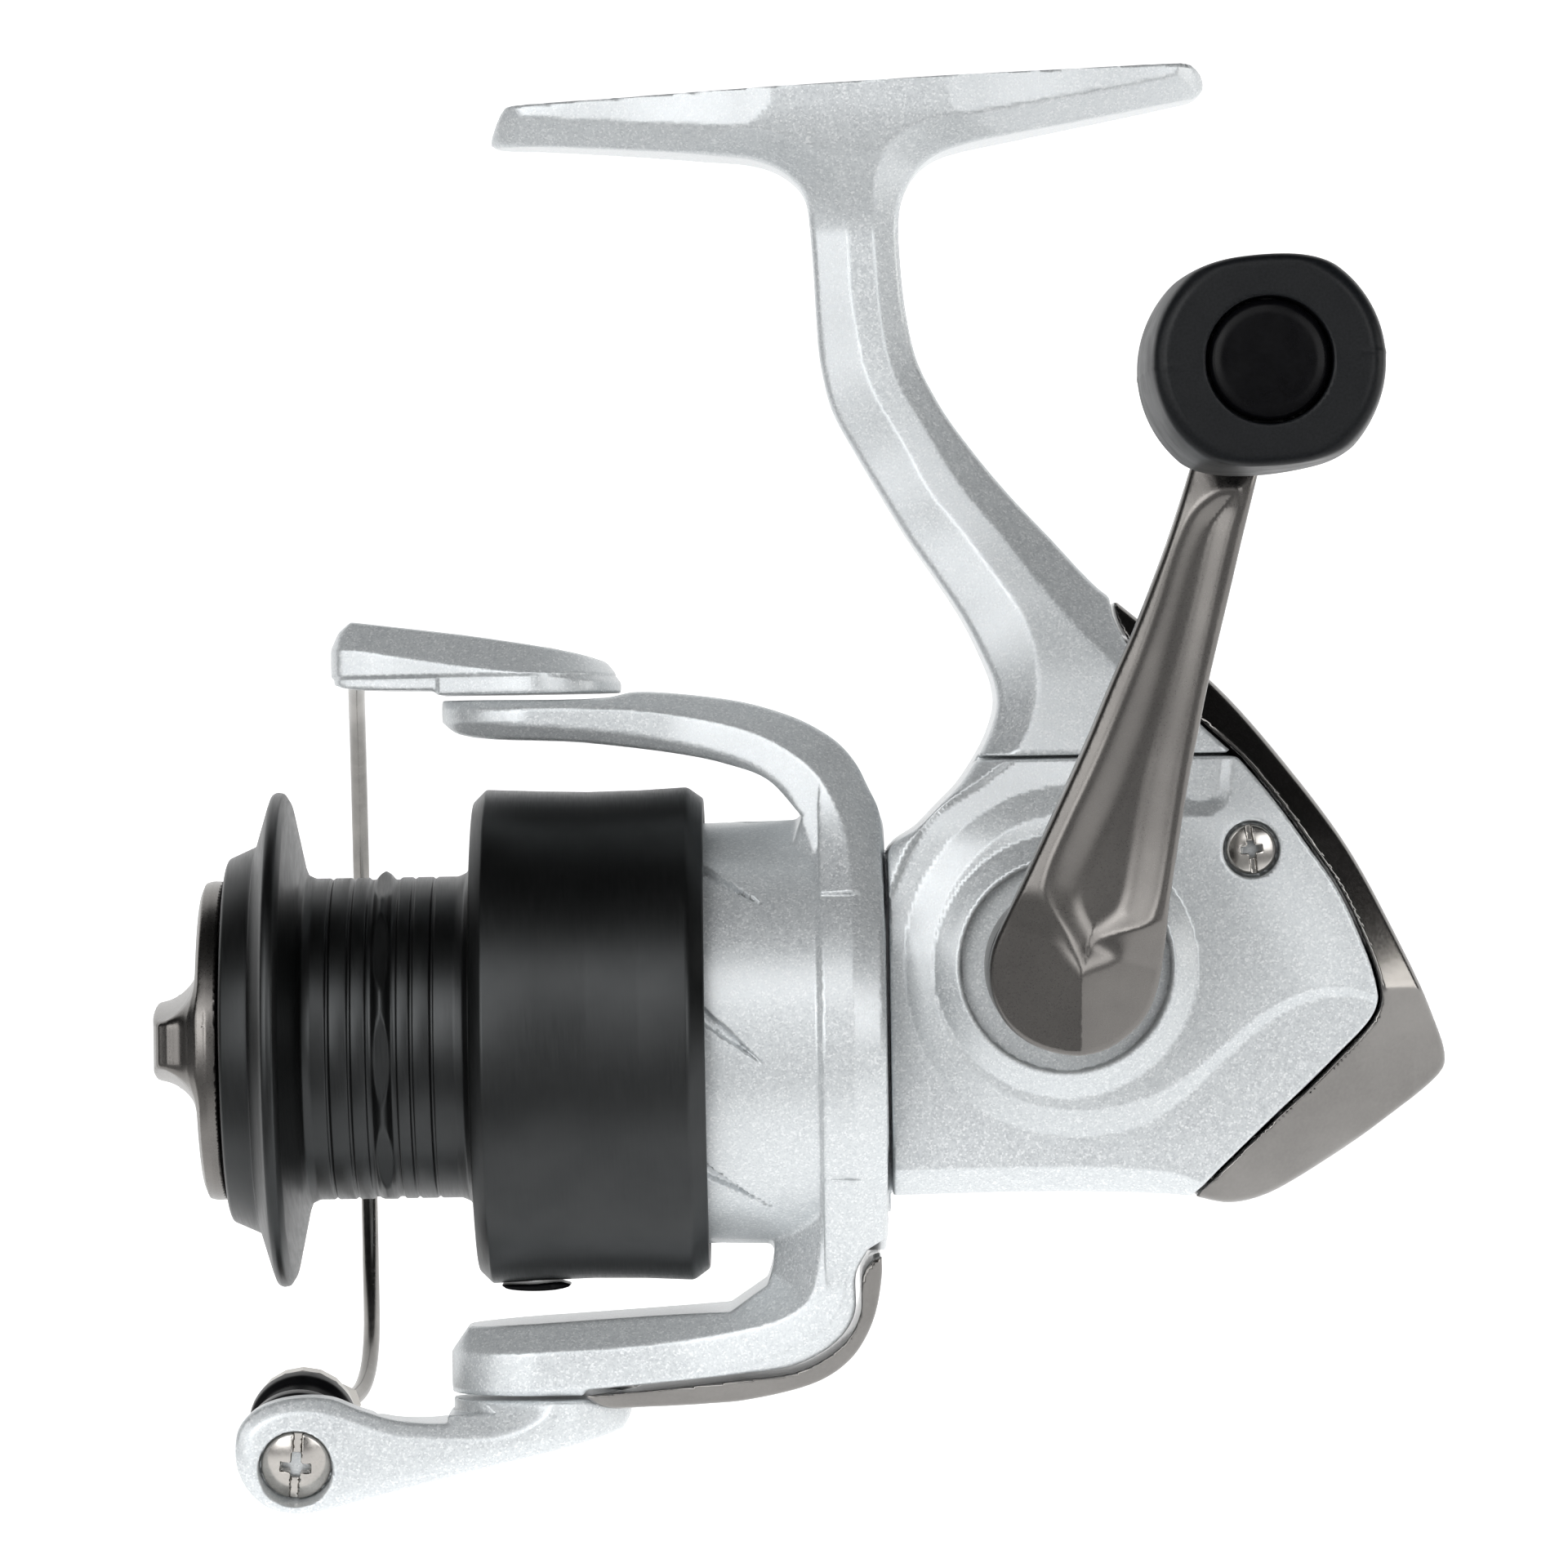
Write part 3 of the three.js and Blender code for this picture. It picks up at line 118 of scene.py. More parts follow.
class Prof:
    """Signed distance of a closed 2-D outline, negative inside, from a fine table read with smooth interpolation."""

    def __init__(self, pts, sharp=38.0, curve=True, step=0.25, pad=3.0):
        P = self.P = outline(pts, sharp, curve=curve)
        self.h = step
        self.lo = P.min(0) - pad
        n = np.ceil((P.max(0) + pad - self.lo) / step).astype(int) + 1
        U = self.lo[0] + step * np.arange(n[0])
        V = self.lo[1] + step * np.arange(n[1])
        X, Y = np.meshgrid(U, V, indexing="ij")
        D = np.full(X.shape, 1e9)
        inside = np.zeros(X.shape, bool)
        for a, b in zip(P, np.roll(P, -1, 0)):
            e = b - a
            L = e @ e
            if L < 1e-12:
                continue
            dx, dy = X - a[0], Y - a[1]
            t = np.clip((dx * e[0] + dy * e[1]) / L, 0, 1)
            np.minimum(D, (dx - t * e[0]) ** 2 + (dy - t * e[1]) ** 2, out=D)
            c = np.nonzero((a[1] > V) != (b[1] > V))[0]
            if len(c):
                xi = a[0] + (V[c] - a[1]) * e[0] / e[1]
                inside[:, c] ^= X[:, c] < xi[None, :]
        D = np.sqrt(D)
        D[inside] *= -1
        self.T = D
        self.n = n

    def __call__(self, u, v):
        u, v = np.asarray(u, float), np.asarray(v, float)
        fu, fv = (u - self.lo[0]) / self.h, (v - self.lo[1]) / self.h
        cu, cv = np.clip(fu, 1, self.n[0] - 2.001), np.clip(fv, 1, self.n[1] - 2.001)
        far = np.sqrt((fu - cu) ** 2 + (fv - cv) ** 2) * self.h
        iu, iv = cu.astype(int), cv.astype(int)
        tu, tv = cu - iu, cv - iv
        iu, iv = np.minimum(iu, self.n[0] - 3), np.minimum(iv, self.n[1] - 3)

        def w(t):
            return (-0.5 * t + t * t - 0.5 * t**3, 1 - 2.5 * t * t + 1.5 * t**3, 0.5 * t + 2 * t * t - 1.5 * t**3, -0.5 * t * t + 0.5 * t**3)

        wu, wv = w(tu), w(tv)
        T, m = self.T.ravel(), self.n[1]
        out = 0.0
        for a in range(4):
            base = (iu + (a - 1)) * m + iv
            out = out + wu[a] * (wv[0] * T[base - 1] + wv[1] * T[base] + wv[2] * T[base + 1] + wv[3] * T[base + 2])
        return out + far


def table(pts):
    """A smooth curve through (input, value) points that never overshoots them."""
    x, y = np.array([p[0] for p in pts], float), np.array([p[1] for p in pts], float)
    d = np.diff(y) / np.diff(x)
    m = np.zeros(len(x))
    m[1:-1] = np.where(d[:-1] * d[1:] > 0, 2 * d[:-1] * d[1:] / np.where(d[:-1] + d[1:] == 0, 1, d[:-1] + d[1:]), 0)
    m[0], m[-1] = d[0], d[-1]
    X = np.linspace(x[0], x[-1], 400)
    i = np.clip(np.searchsorted(x, X, "right") - 1, 0, len(x) - 2)
    h = x[i + 1] - x[i]
    t = (X - x[i]) / h
    Y = (2 * t**3 - 3 * t**2 + 1) * y[i] + (t**3 - 2 * t**2 + t) * h * m[i] + (-2 * t**3 + 3 * t**2) * y[i + 1] + (t**3 - t**2) * h * m[i + 1]
    return lambda q: np.interp(q, X, Y)


def rmax(a, b, r):
    """Both: the cut edge rounded to radius r."""
    return np.minimum(np.maximum(a, b), -r) + np.sqrt(np.maximum(a + r, 0) ** 2 + np.maximum(b + r, 0) ** 2)


def rmin(a, b, r):
    """Either: the joint filleted to radius r."""
    return np.maximum(np.minimum(a, b), r) - np.sqrt(np.maximum(r - a, 0) ** 2 + np.maximum(r - b, 0) ** 2)


def soft(v, e):
    return 0.5 * (v + np.sqrt(v * v + e * e))


def ss(a, b, v):
    t = np.clip((v - a) / (b - a), 0, 1)
    return t * t * (3 - 2 * t)


def cyl(u, v, cu, cv, r):
    return np.sqrt((u - cu) ** 2 + (v - cv) ** 2) - r


def slab(t, a, b):
    return np.maximum(a - t, t - b)


def nets(F, lo, hi, h):
    """Quads on the surface F = 0, points moved onto it, and its normals."""
    ax = [np.arange(lo[i] - h, hi[i] + 1.5 * h, h) for i in range(3)]
    G = F(ax[0][:, None, None], ax[1][None, :, None], ax[2][None, None, :])
    G = np.array(np.broadcast_to(G, [len(a) for a in ax]), np.float32)
    G[G == 0] = 1e-5
    for s in (0, -1):
        G[s], G[:, s], G[:, :, s] = np.abs(G[s]) + 0.01, np.abs(G[:, s]) + 0.01, np.abs(G[:, :, s]) + 0.01
    S = G < 0
    corners = [(i, j, k) for i in (0, 1) for j in (0, 1) for k in (0, 1)]
    nx, ny, nz = S.shape

    def at(A, c):
        return A[c[0] : nx - 1 + c[0], c[1] : ny - 1 + c[1], c[2] : nz - 1 + c[2]]

    cnt = sum(at(S, c).astype(np.int8) for c in corners)
    ids = np.argwhere((cnt > 0) & (cnt < 8))
    idx = np.full((nx - 1, ny - 1, nz - 1), -1, np.int32)
    idx[ids[:, 0], ids[:, 1], ids[:, 2]] = np.arange(len(ids))
    pos, num = np.zeros((len(ids), 3)), np.zeros(len(ids))
    for a in corners:
        for k in range(3):
            if a[k]:
                continue
            b = list(a)
            b[k] = 1
            ga = G[ids[:, 0] + a[0], ids[:, 1] + a[1], ids[:, 2] + a[2]]
            gb = G[ids[:, 0] + b[0], ids[:, 1] + b[1], ids[:, 2] + b[2]]
            m = (ga < 0) != (gb < 0)
            t = np.where(m, ga / np.where(m, ga - gb, 1), 0)
            p = np.array(a, float)[None, :].repeat(len(ids), 0)
            p[:, k] += t
            pos[m] += p[m]
            num[m] += 1
    P = np.array([a[0] for a in ax])[None, :] + (ids + pos / num[:, None]) * h
    faces = []
    for k in range(3):
        u, v = (k + 1) % 3, (k + 2) % 3
        sl0, sl1 = [slice(None)] * 3, [slice(None)] * 3
        sl0[k], sl1[k] = slice(0, -1), slice(1, None)
        for q in (sl0, sl1):
            q[u], q[v] = slice(1, -1), slice(1, -1)
        s0, s1 = S[tuple(sl0)], S[tuple(sl1)]
        e = np.argwhere(s0 != s1)
        out = s0[e[:, 0], e[:, 1], e[:, 2]]
        e[:, u] += 1
        e[:, v] += 1

        def cell(du, dv):
            c = e.copy()
            c[:, u] += du
            c[:, v] += dv
            return idx[c[:, 0], c[:, 1], c[:, 2]]

        q = np.stack([cell(-1, -1), cell(0, -1), cell(0, 0), cell(-1, 0)], 1)
        q[~out] = q[~out][:, ::-1]
        faces.append(q)
    faces = np.concatenate(faces)

    def slope(Q, e=0.05):
        x, y, z = Q.T
        return np.stack([F(x + e, y, z) - F(x - e, y, z), F(x, y + e, z) - F(x, y - e, z), F(x, y, z + e) - F(x, y, z - e)], 1) / (2 * e)

    for _ in range(2):
        g = slope(P)
        f = np.asarray(F(*P.T))
        step = -(f / np.maximum((g * g).sum(1), 0.05))[:, None] * g
        L = np.linalg.norm(step, axis=1)
        step *= np.minimum(1, 0.45 * h / np.maximum(L, 1e-9))[:, None]
        P = P + step
    g = slope(P, 0.08)
    N = g / np.maximum(np.linalg.norm(g, axis=1), 1e-9)[:, None]
    return P, faces, N


MADE = {}


def made(name, body, slot_name, replaces, ob):
    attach(ob, body)
    if replaces:
        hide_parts(*replaces)
    ob.data.materials.append(MATS[slot_name])
    MADE[name] = ob
    return ob


def field_piece(name, F, lo, hi, h, body, slot_name, replaces=()):
    P, q, N = nets(F, lo, hi, h)
    return made(name, body, slot_name, replaces, mesh_piece(name, P, q, N))


def frame_axes(axis):
    """Axis and two more directions, right-handed."""
    return {"x": ((1, 0, 0), (0, 1, 0), (0, 0, 1)), "y": ((0, 1, 0), (0, 0, 1), (1, 0, 0)), "z": ((0, 0, 1), (1, 0, 0), (0, 1, 0))}[axis]


def rounded(pts, r=0.2, n=3, closed=False):
    """A profile whose corners are rounded to r, as a dense polyline."""
    P = [np.array(p, float) for p in pts]
    out = []
    for i, p in enumerate(P):
        if not closed and i in (0, len(P) - 1):
            out.append(p)
            continue
        a, b = P[i - 1] - p, P[(i + 1) % len(P)] - p
        la, lb = np.linalg.norm(a), np.linalg.norm(b)
        if la < 1e-6 or lb < 1e-6:
            out.append(p)
            continue
        d = min(r, 0.45 * la, 0.45 * lb)
        q0, q1 = p + a / la * d, p + b / lb * d
        for k in range(n + 1):
            t = k / n
            out.append((1 - t) ** 2 * q0 + 2 * t * (1 - t) * p + t * t * q1)
    return np.array(out)


def lathe(name, pts, axis, at, segs, body, slot_name, replaces=(), r=0.2, shape=None, closed=False, n=3, tilt=None):
    """A turned piece: profile points (along, radius), corners rounded to r; shape(along, radius, angle) may change the radius."""
    Q = rounded(pts, r, n, closed)
    h, rr = Q[:, 0], np.maximum(Q[:, 1], 0)
    ang = 2 * np.pi * np.arange(segs) / segs
    a, e1, e2 = (np.array(v, float) for v in frame_axes(axis))
    R = rr[:, None] * np.ones(segs)[None, :]
    if shape is not None:
        R = shape(h[:, None] + 0 * R, R, ang[None, :] + 0 * R)
    P = h[:, None, None] * a + R[..., None] * (np.cos(ang)[None, :, None] * e1 + np.sin(ang)[None, :, None] * e2)
    P = P.reshape(-1, 3)
    m = len(h)
    faces = []
    rows = range(m if closed else m - 1)
    for i in rows:
        j = (i + 1) % m
        for k in range(segs):
            l = (k + 1) % segs
            if rr[i] < 1e-6 and rr[j] < 1e-6:
                continue
            if rr[i] < 1e-6:
                faces.append((i * segs, j * segs + l, j * segs + k))
            elif rr[j] < 1e-6:
                faces.append((i * segs + k, i * segs + l, j * segs))
            else:
                faces.append((i * segs + k, i * segs + l, j * segs + l, j * segs + k))
    used = sorted({v for f in faces for v in f})
    new = {v: i for i, v in enumerate(used)}
    faces = [tuple(new[v] for v in f) for f in faces]
    P = P[used]
    if tilt is not None:
        P = tilt(P)
    P = P + np.array(at, float)
    ob = mesh_piece(name, P, faces)
    bm = bmesh.new()
    bm.from_mesh(ob.data)
    bmesh.ops.recalc_face_normals(bm, faces=bm.faces)
    bm.to_mesh(ob.data)
    bm.free()
    ob.data.polygons.foreach_set("use_smooth", np.ones(len(ob.data.polygons), bool))
    ob.data.update()
    return made(name, body, slot_name, replaces, ob)


# ---------------------------------------------------------------- materials
MATS = {}


class Nodes:
    def __init__(self, name):
        self.m = bpy.data.materials.new(name)
        self.m.use_nodes = True
        self.t = self.m.node_tree
        self.p = next(n for n in self.t.nodes if n.type == "BSDF_PRINCIPLED")
        self.co = self.add("ShaderNodeTexCoord").outputs["Object"]

    def add(self, kind, **props):
        n = self.t.nodes.new(kind)
        for k, v in props.items():
            setattr(n, k, v)
        return n

    def link(self, a, b):
        self.t.links.new(a, b)

    def at(self, scale=(1, 1, 1), turn=True):
        """Object coordinates turned so that X runs along the shaft, then scaled."""
        n = self.add("ShaderNodeMapping")
        if turn:
            n.inputs["Rotation"].default_value = (0, -TILT, 0)
        n.inputs["Scale"].default_value = scale
        self.link(self.co, n.inputs["Vector"])
        return n.outputs["Vector"]

    def noise(self, scale, detail=3, rough=0.55, vec=None):
        n = self.add("ShaderNodeTexNoise")
        n.inputs["Scale"].default_value = scale
        n.inputs["Detail"].default_value = detail
        n.inputs["Roughness"].default_value = rough
        self.link(vec if vec is not None else self.co, n.inputs["Vector"])
        return n.outputs["Fac"]

    def cells(self, scale, vec=None):
        n = self.add("ShaderNodeTexVoronoi")
        n.inputs["Scale"].default_value = scale
        self.link(vec if vec is not None else self.co, n.inputs["Vector"])
        s = self.add("ShaderNodeSeparateColor")
        self.link(n.outputs["Color"], s.inputs[0])
        return s.outputs[0]

    def ramp(self, fac, stops):
        n = self.add("ShaderNodeValToRGB")
        r = n.color_ramp
        while len(r.elements) < len(stops):
            r.elements.new(0.5)
        for e, (p, c) in zip(r.elements, stops):
            e.position = p
            e.color = (*c, 1) if len(c) == 3 else c
        self.link(fac, n.inputs["Fac"])
        return n.outputs["Color"]

    def span(self, fac, lo, hi, f0=0.0, f1=1.0):
        n = self.add("ShaderNodeMapRange")
        for k, v in (("From Min", f0), ("From Max", f1), ("To Min", lo), ("To Max", hi)):
            n.inputs[k].default_value = v
        self.link(fac, n.inputs["Value"])
        return n.outputs["Result"]

    def mix(self, fac, a, b):
        n = self.add("ShaderNodeMix", data_type="RGBA")
        if isinstance(fac, float):
            n.inputs["Factor"].default_value = fac
        else:
            self.link(fac, n.inputs["Factor"])
        for s, v in ((n.inputs[6], a), (n.inputs[7], b)):
            if isinstance(v, tuple):
                s.default_value = (*v, 1)
            else:
                self.link(v, s)
        return n.outputs[2]

    def bump(self, height, strength, dist, normal=None):
        n = self.add("ShaderNodeBump")
        n.inputs["Strength"].default_value = strength
        n.inputs["Distance"].default_value = dist
        self.link(height, n.inputs["Height"])
        if normal is not None:
            self.link(normal, n.inputs["Normal"])
        return n.outputs["Normal"]

    def done(self, color=None, rough=None, normal=None, **fixed):
        p = self.p
        if color is not None:
            if isinstance(color, tuple):
                p.inputs["Base Color"].default_value = (*color, 1)
            else:
                self.link(color, p.inputs["Base Color"])
        if rough is not None:
            if isinstance(rough, float):
                p.inputs["Roughness"].default_value = rough
            else:
                self.link(rough, p.inputs["Roughness"])
        if normal is not None:
            self.link(normal, p.inputs["Normal"])
        for k, v in fixed.items():
            p.inputs[k.replace("_", " ")].default_value = v
        return self.m


def pearl():
    n = Nodes("pearl_paint")
    flake = n.cells(6200)
    drift = n.noise(90, 2)
    fine = n.noise(9000, 2)
    c = n.ramp(flake, [(0.0, (0.58, 0.61, 0.63)), (0.35, (0.67, 0.70, 0.715)), (0.75, (0.71, 0.74, 0.752)), (1.0, (0.88, 0.90, 0.91))])
    c = n.mix(n.span(drift, 0.0, 0.25), c, (0.66, 0.695, 0.72))
    r = n.span(flake, 0.30, 0.50)
    nm = n.bump(fine, 0.10, 0.00004)
    nm = n.bump(n.cells(5200), 0.10, 0.00004, nm)
    return n.done(c, r, nm, Metallic=0.42, Coat_Weight=0.28, Coat_Roughness=0.16)


def metal(name, dark, light, r0, r1, grain=5200, strength=0.06, dist=0.00002, metallic=1.0, coat=0.0, coat_rough=0.1, stretch=None):
    n = Nodes(name)
    g = n.noise(grain, 3, 0.6, n.at(stretch) if stretch else None)
    drift = n.noise(140, 3)
    c = n.mix(n.span(drift, 0.0, 1.0, 0.35, 0.65), dark, light)
    c = n.mix(n.span(g, 0.0, 0.14, 0.3, 0.7), c, tuple(min(1, 1.5 * v) for v in light))
    r = n.span(g, r0, r1, 0.3, 0.7)
    return n.done(c, r, n.bump(g, strength, dist), Metallic=metallic, Coat_Weight=coat, Coat_Roughness=coat_rough)


def plastic(name, dark, light, r0, r1, grain, strength, dist, coat=0.0, spec=0.5):
    n = Nodes(name)
    g = n.noise(grain, 4, 0.6)
    c = n.mix(n.span(g, 0.0, 1.0, 0.35, 0.65), dark, light)
    r = n.span(n.noise(300, 3), r0, r1, 0.35, 0.65)
    return n.done(c, r, n.bump(g, strength, dist), Metallic=0.0, Coat_Weight=coat, Coat_Roughness=0.06, Specular_IOR_Level=spec)


MATS["pearl_paint"] = pearl()
MATS["gunmetal_gloss"] = metal("gunmetal_gloss", (0.19, 0.183, 0.175), (0.23, 0.222, 0.212), 0.18, 0.24, 3000, 0.02, 0.00002, 1.0, 0.4, 0.05)
MATS["gunmetal_satin"] = metal("gunmetal_satin", (0.165, 0.157, 0.150), (0.195, 0.186, 0.176), 0.26, 0.33, 6500, 0.05, 0.00002)
MATS["graphite_anodised"] = metal("graphite_anodised", (0.046, 0.048, 0.049), (0.054, 0.056, 0.057), 0.34, 0.42, 900, 0.04, 0.00002, stretch=(9.0, 0.35, 0.35))
MATS["knob_rubber"] = plastic("knob_rubber", (0.004, 0.005, 0.006), (0.009, 0.010, 0.012), 0.36, 0.44, 4200, 0.10, 0.00004, spec=0.22)
MATS["black_gloss"] = plastic("black_gloss", (0.0015, 0.0015, 0.002), (0.003, 0.003, 0.004), 0.26, 0.34, 2500, 0.03, 0.00002, 0.0, 0.12)
MATS["nickel_screw"] = metal("nickel_screw", (0.42, 0.40, 0.38), (0.55, 0.53, 0.50), 0.16, 0.26, 4200, 0.05, 0.00002)
MATS["stainless"] = metal("stainless", (0.20, 0.195, 0.185), (0.30, 0.29, 0.275), 0.20, 0.28, 1400, 0.04, 0.00002)
MATS["brass"] = metal("brass", (0.55, 0.38, 0.14), (0.68, 0.48, 0.20), 0.25, 0.38, 3000, 0.06, 0.00002)
MATS["zinc_gear"] = metal("zinc_gear", (0.42, 0.43, 0.44), (0.52, 0.53, 0.54), 0.34, 0.48, 2600, 0.10, 0.00003)
MATS["drag_felt"] = plastic("drag_felt", (0.030, 0.032, 0.026), (0.060, 0.062, 0.050), 0.9, 1.0, 3500, 0.5, 0.0001)
MATS["black_ceramic"] = plastic("black_ceramic", (0.003, 0.003, 0.0035), (0.005, 0.005, 0.006), 0.26, 0.34, 1500, 0.02, 0.00002, 0.0, 0.15)

SLOT_OF = {}
for s in frame["record"]["product"]["materials"] if "materials" in frame["record"].get("product", {}) else []:
    for node in s.get("nodes", []):
        SLOT_OF[node] = s.get("name") or s.get("slot")


# ---------------------------------------------------------------- housing: body, side cover, rear cover
def level(a, b):
    return (SEAT_X + a * CT - b * ST, SEAT_Z + a * ST + b * CT)


STEM_L = [[-20.01, 82.11], [-14.90, 81.65], [-11.02, 81.21], [-8.74, 80.41], [-7.61, 79.63], [-6.78, 78.85], [-6.26, 78.08], [-5.96, 77.16], [-5.70, 74.63], [-5.45, 70.81], [-5.28, 66.99], [-5.04, 63.17], [-4.34, 59.34], [-3.68, 57.42], [-1.60, 53.57], [0.63, 49.72], [2.93, 45.87], [5.55, 42.01], [8.00, 38.15], [9.85, 34.31], [10.59, 32.39], [10.86, 30.47], [10.45, 28.57], [9.66, 26.68], [8.56, 24.78], [7.23, 22.90], [5.37, 21.02], [3.51, 19.14], [0.4, 16.5]]
STEM_R = [[22.4, 39.4], [20.34, 41.01], [16.14, 45.66], [12.61, 49.53], [9.47, 53.40], [6.70, 57.26], [5.59, 59.19], [4.62, 61.11], [3.89, 63.03], [3.11, 66.86], [2.71, 70.68], [2.54, 74.50], [2.65, 76.26], [3.06, 77.93], [3.84, 79.45], [4.47, 80.20], [5.32, 80.95], [6.70, 81.69], [9.23, 82.41], [12.83, 83.12], [20.49, 84.53]]
REAR = [[31.0, 31.8], [37.3, 24.3], [42.8, 16.6], [46.9, 8.9], [50.5, 1.2], [51.9, -2.7], [51.8, -4.1], [46.3, -8.6], [38.6, -13.7], [34.7, -15.6], [31.5, -16.1], [27.6, -15.3], [23.3, -15.0], [14.0, -14.75], [0.4, -14.9]]
foot_front = [level(*p) for p in [(-31.2, 0), (-32.6, -0.1), (-33.1, -0.6), (-34.2, -2.8), (-34.25, -3.3), (-33.8, -3.55), (-29.0, -3.95)]]
foot_rear = [level(*p) for p in [(29.4, -3.5), (31.6, -3.1), (32.4, -2.3), (32.3, -1.2), (31.5, -0.3), (30.4, 0)]]
SIDE = Prof(foot_front + STEM_L + [[0.4, -14.9]] + REAR[::-1][1:] + STEM_R + foot_rear, sharp=50)
CREASE = Prof(
    [[-33.0, 86.6], [-32.23, 85.45], [-20.11, 84.57], [-12.54, 84.07], [-8.76, 83.54], [-6.13, 82.23], [-3.88, 80.30], [-2.78, 78.01], [-2.37, 75.35], [-2.16, 69.28], [-1.62, 65.48], [-0.92, 61.68], [0.32, 58.63], [2.54, 54.81], [5.04, 50.06], [7.99, 46.25], [10.94, 42.06], [13.15, 38.63], [14.23, 35.60], [14.56, 32.58], [14.14, 29.57], [12.6, 26.20], [9.19, 23.39], [3.96, 19.80], [0.64, 13.71], [-0.93, 8.79], [-1.86, -2.44], [-2.02, -12.62], [8.62, -12.42], [20.91, -12.61], [26.44, -13.22], [28.9, -14.1]]
    + [[30.0, -14.0], [33.0, -11.1], [36.0, -8.1], [39.1, -5.4], [42.1, -2.6], [45.2, 0.5], [45.95, 2.4], [45.65, 4.1], [44.5, 7.4], [42.3, 12.0], [39.35, 17.0], [36.4, 21.6], [33.4, 25.4], [31.2, 27.5], [28.01, 29.2], [24.28, 31.6], [20.56, 35.0], [15.40, 41.0], [11.72, 45.9], [8.15, 50.3], [4.46, 56.29], [1.88, 60.88], [0.81, 65.45], [0.30, 71.52], [0.09, 77.59], [0.43, 79.85], [1.84, 82.48], [4.90, 84.33], [10.22, 85.16], [25.42, 87.80], [28.45, 88.43], [29.5, 92.0], [-34.0, 91.0]],
    sharp=42,
)
SEAM = Prof([[22.11, 43.0], [22.11, 38.3], [25.76, 32.37], [29.83, 28.18], [31.68, 26.45], [33.16, 25.02], [36.11, 21.42], [39.04, 17.26], [41.97, 12.83], [44.15, 8.0], [45.30, 4.49], [45.55, 2.38], [44.80, 0.61], [41.74, -2.62], [38.69, -5.58], [35.64, -8.36], [32.59, -11.22], [29.54, -14.17], [27.4, -16.6], [27.0, -19.0], [62, -19], [62, 43]], sharp=45)
PLATEAU = Prof([[4.40, 6.48], [4.93, 1.98], [6.52, -1.78], [9.32, -4.44], [13.03, -6.37], [18.26, -7.05], [23.51, -6.16], [27.28, -4.35], [31.07, -1.42], [34.85, 1.51], [38.62, 3.33], [41.62, 3.80], [44.60, 3.16], [49.06, 1.29], [54.10, 4.24], [48.35, 19.29], [41.02, 28.38], [34.46, 31.98], [32.3, 27.0], [32.22, 24.75], [32.04, 22.51], [31.41, 20.65], [29.90, 19.70], [28.03, 19.58], [23.92, 19.94], [19.44, 20.31], [15.69, 19.92], [12.68, 19.07], [9.28, 17.03], [6.62, 13.93], [4.91, 10.21]], sharp=60)
HALF_Z = table([(-18, 13.4), (17, 13.4), (24, 12.4), (32, 10.3), (40, 7.5), (48, 5.2), (58, 3.75), (66, 3.35), (74, 3.4), (79, 4.8), (83, 6.7), (86, 7.3), (92, 7.4)])
HALF_X = table([(-37, 2.2), (-35.4, 3.4), (-34.4, 4.3), (-33.0, 4.85), (-31, 5.1), (-22, 5.8), (-12, 7.0), (-5, 7.6), (3, 7.6), (10, 7.0), (19, 5.8), (28, 4.9), (30, 4.5), (31.2, 3.5), (33, 2.0)])
BEVEL = table([(-18, 1.15), (-13, 1.0), (-9.5, 0.82), (28, 0.72), (45, 0.50), (75, 0.50), (80, 0.66), (92, 0.7)])
EDGE_R = table([(-18, 0.6), (60, 0.6), (76, 0.55), (85, 0.35), (92, 0.3)])


def features(x, z):
    """How far the side cover's face stands out from its plain surface."""
    a = PLATEAU(x, z)
    w = 2.6 - 1.7 * ss(21, 33, x)
    r = np.sqrt((x - CRANK_X) ** 2 + (z - CRANK_Z) ** 2)
    d = 0.8 * (1 - np.clip(a / w, 0, 1)) * (0.35 + 0.65 * ss(0, 9, SEAM(x, z)))
    d = d + 1.35 * np.clip((12.1 - r) / 2.1, 0, 1)
    c = CREASE(x, z)
    m = ss(27, 18, x) * ss(7, 11, z) * ss(0, 0.7, -c)
    return d - 0.5 * m * (1 - np.clip(-c / 7, 0, 1))


def half_width(x, z):
    w = np.minimum(HALF_Z(z), HALF_X(x) + 12 * ss(77, 66, z))
    return w - BEVEL(z) * soft(CREASE(x, z), 0.14)


def hull(x, y, z, extra=0.0):
    return rmax(SIDE(x, z), np.abs(y) - half_width(x, z) - extra, EDGE_R(z))


def body_field(x, y, z):
    h = hull(x, y, z)
    f = rmax(h, 0.35 - SEAM(x, z), 0.3)
    f = rmax(f, -np.maximum(y + 4.7, z - 25.4), 0.3)
    r = np.sqrt(y * y + z * z)
    far = np.sqrt((x - CRANK_X) ** 2 + (z - CRANK_Z) ** 2)
    boss = rmax(far - 12.9, y - 15.1, 0.9)
    f = rmin(f, np.maximum(boss, 11.8 - y), 0.7)
    f = np.maximum(f, -np.maximum(np.maximum(h + 1.9, z - 23.3), 1.8 - x))
    f = np.minimum(f, np.maximum(r - 17.0, slab(x, -3.0, 0.38)))
    f = np.maximum(f, -np.maximum(np.maximum(y + 4.7, z - 25.4), 0.15 - x))
    f = np.maximum(f, -np.maximum(r - 6.15, slab(x, -9, -0.9)))
    f = np.maximum(f, -np.maximum(r - 4.2, slab(x, -2, 5)))
    f = np.maximum(f, -np.maximum(far - 5.3, 8 - y))
    f = rmax(f, -np.maximum(cyl(x, z, 3.9, -11.0, 2.2), 11.6 - y), 0.15)
    return f


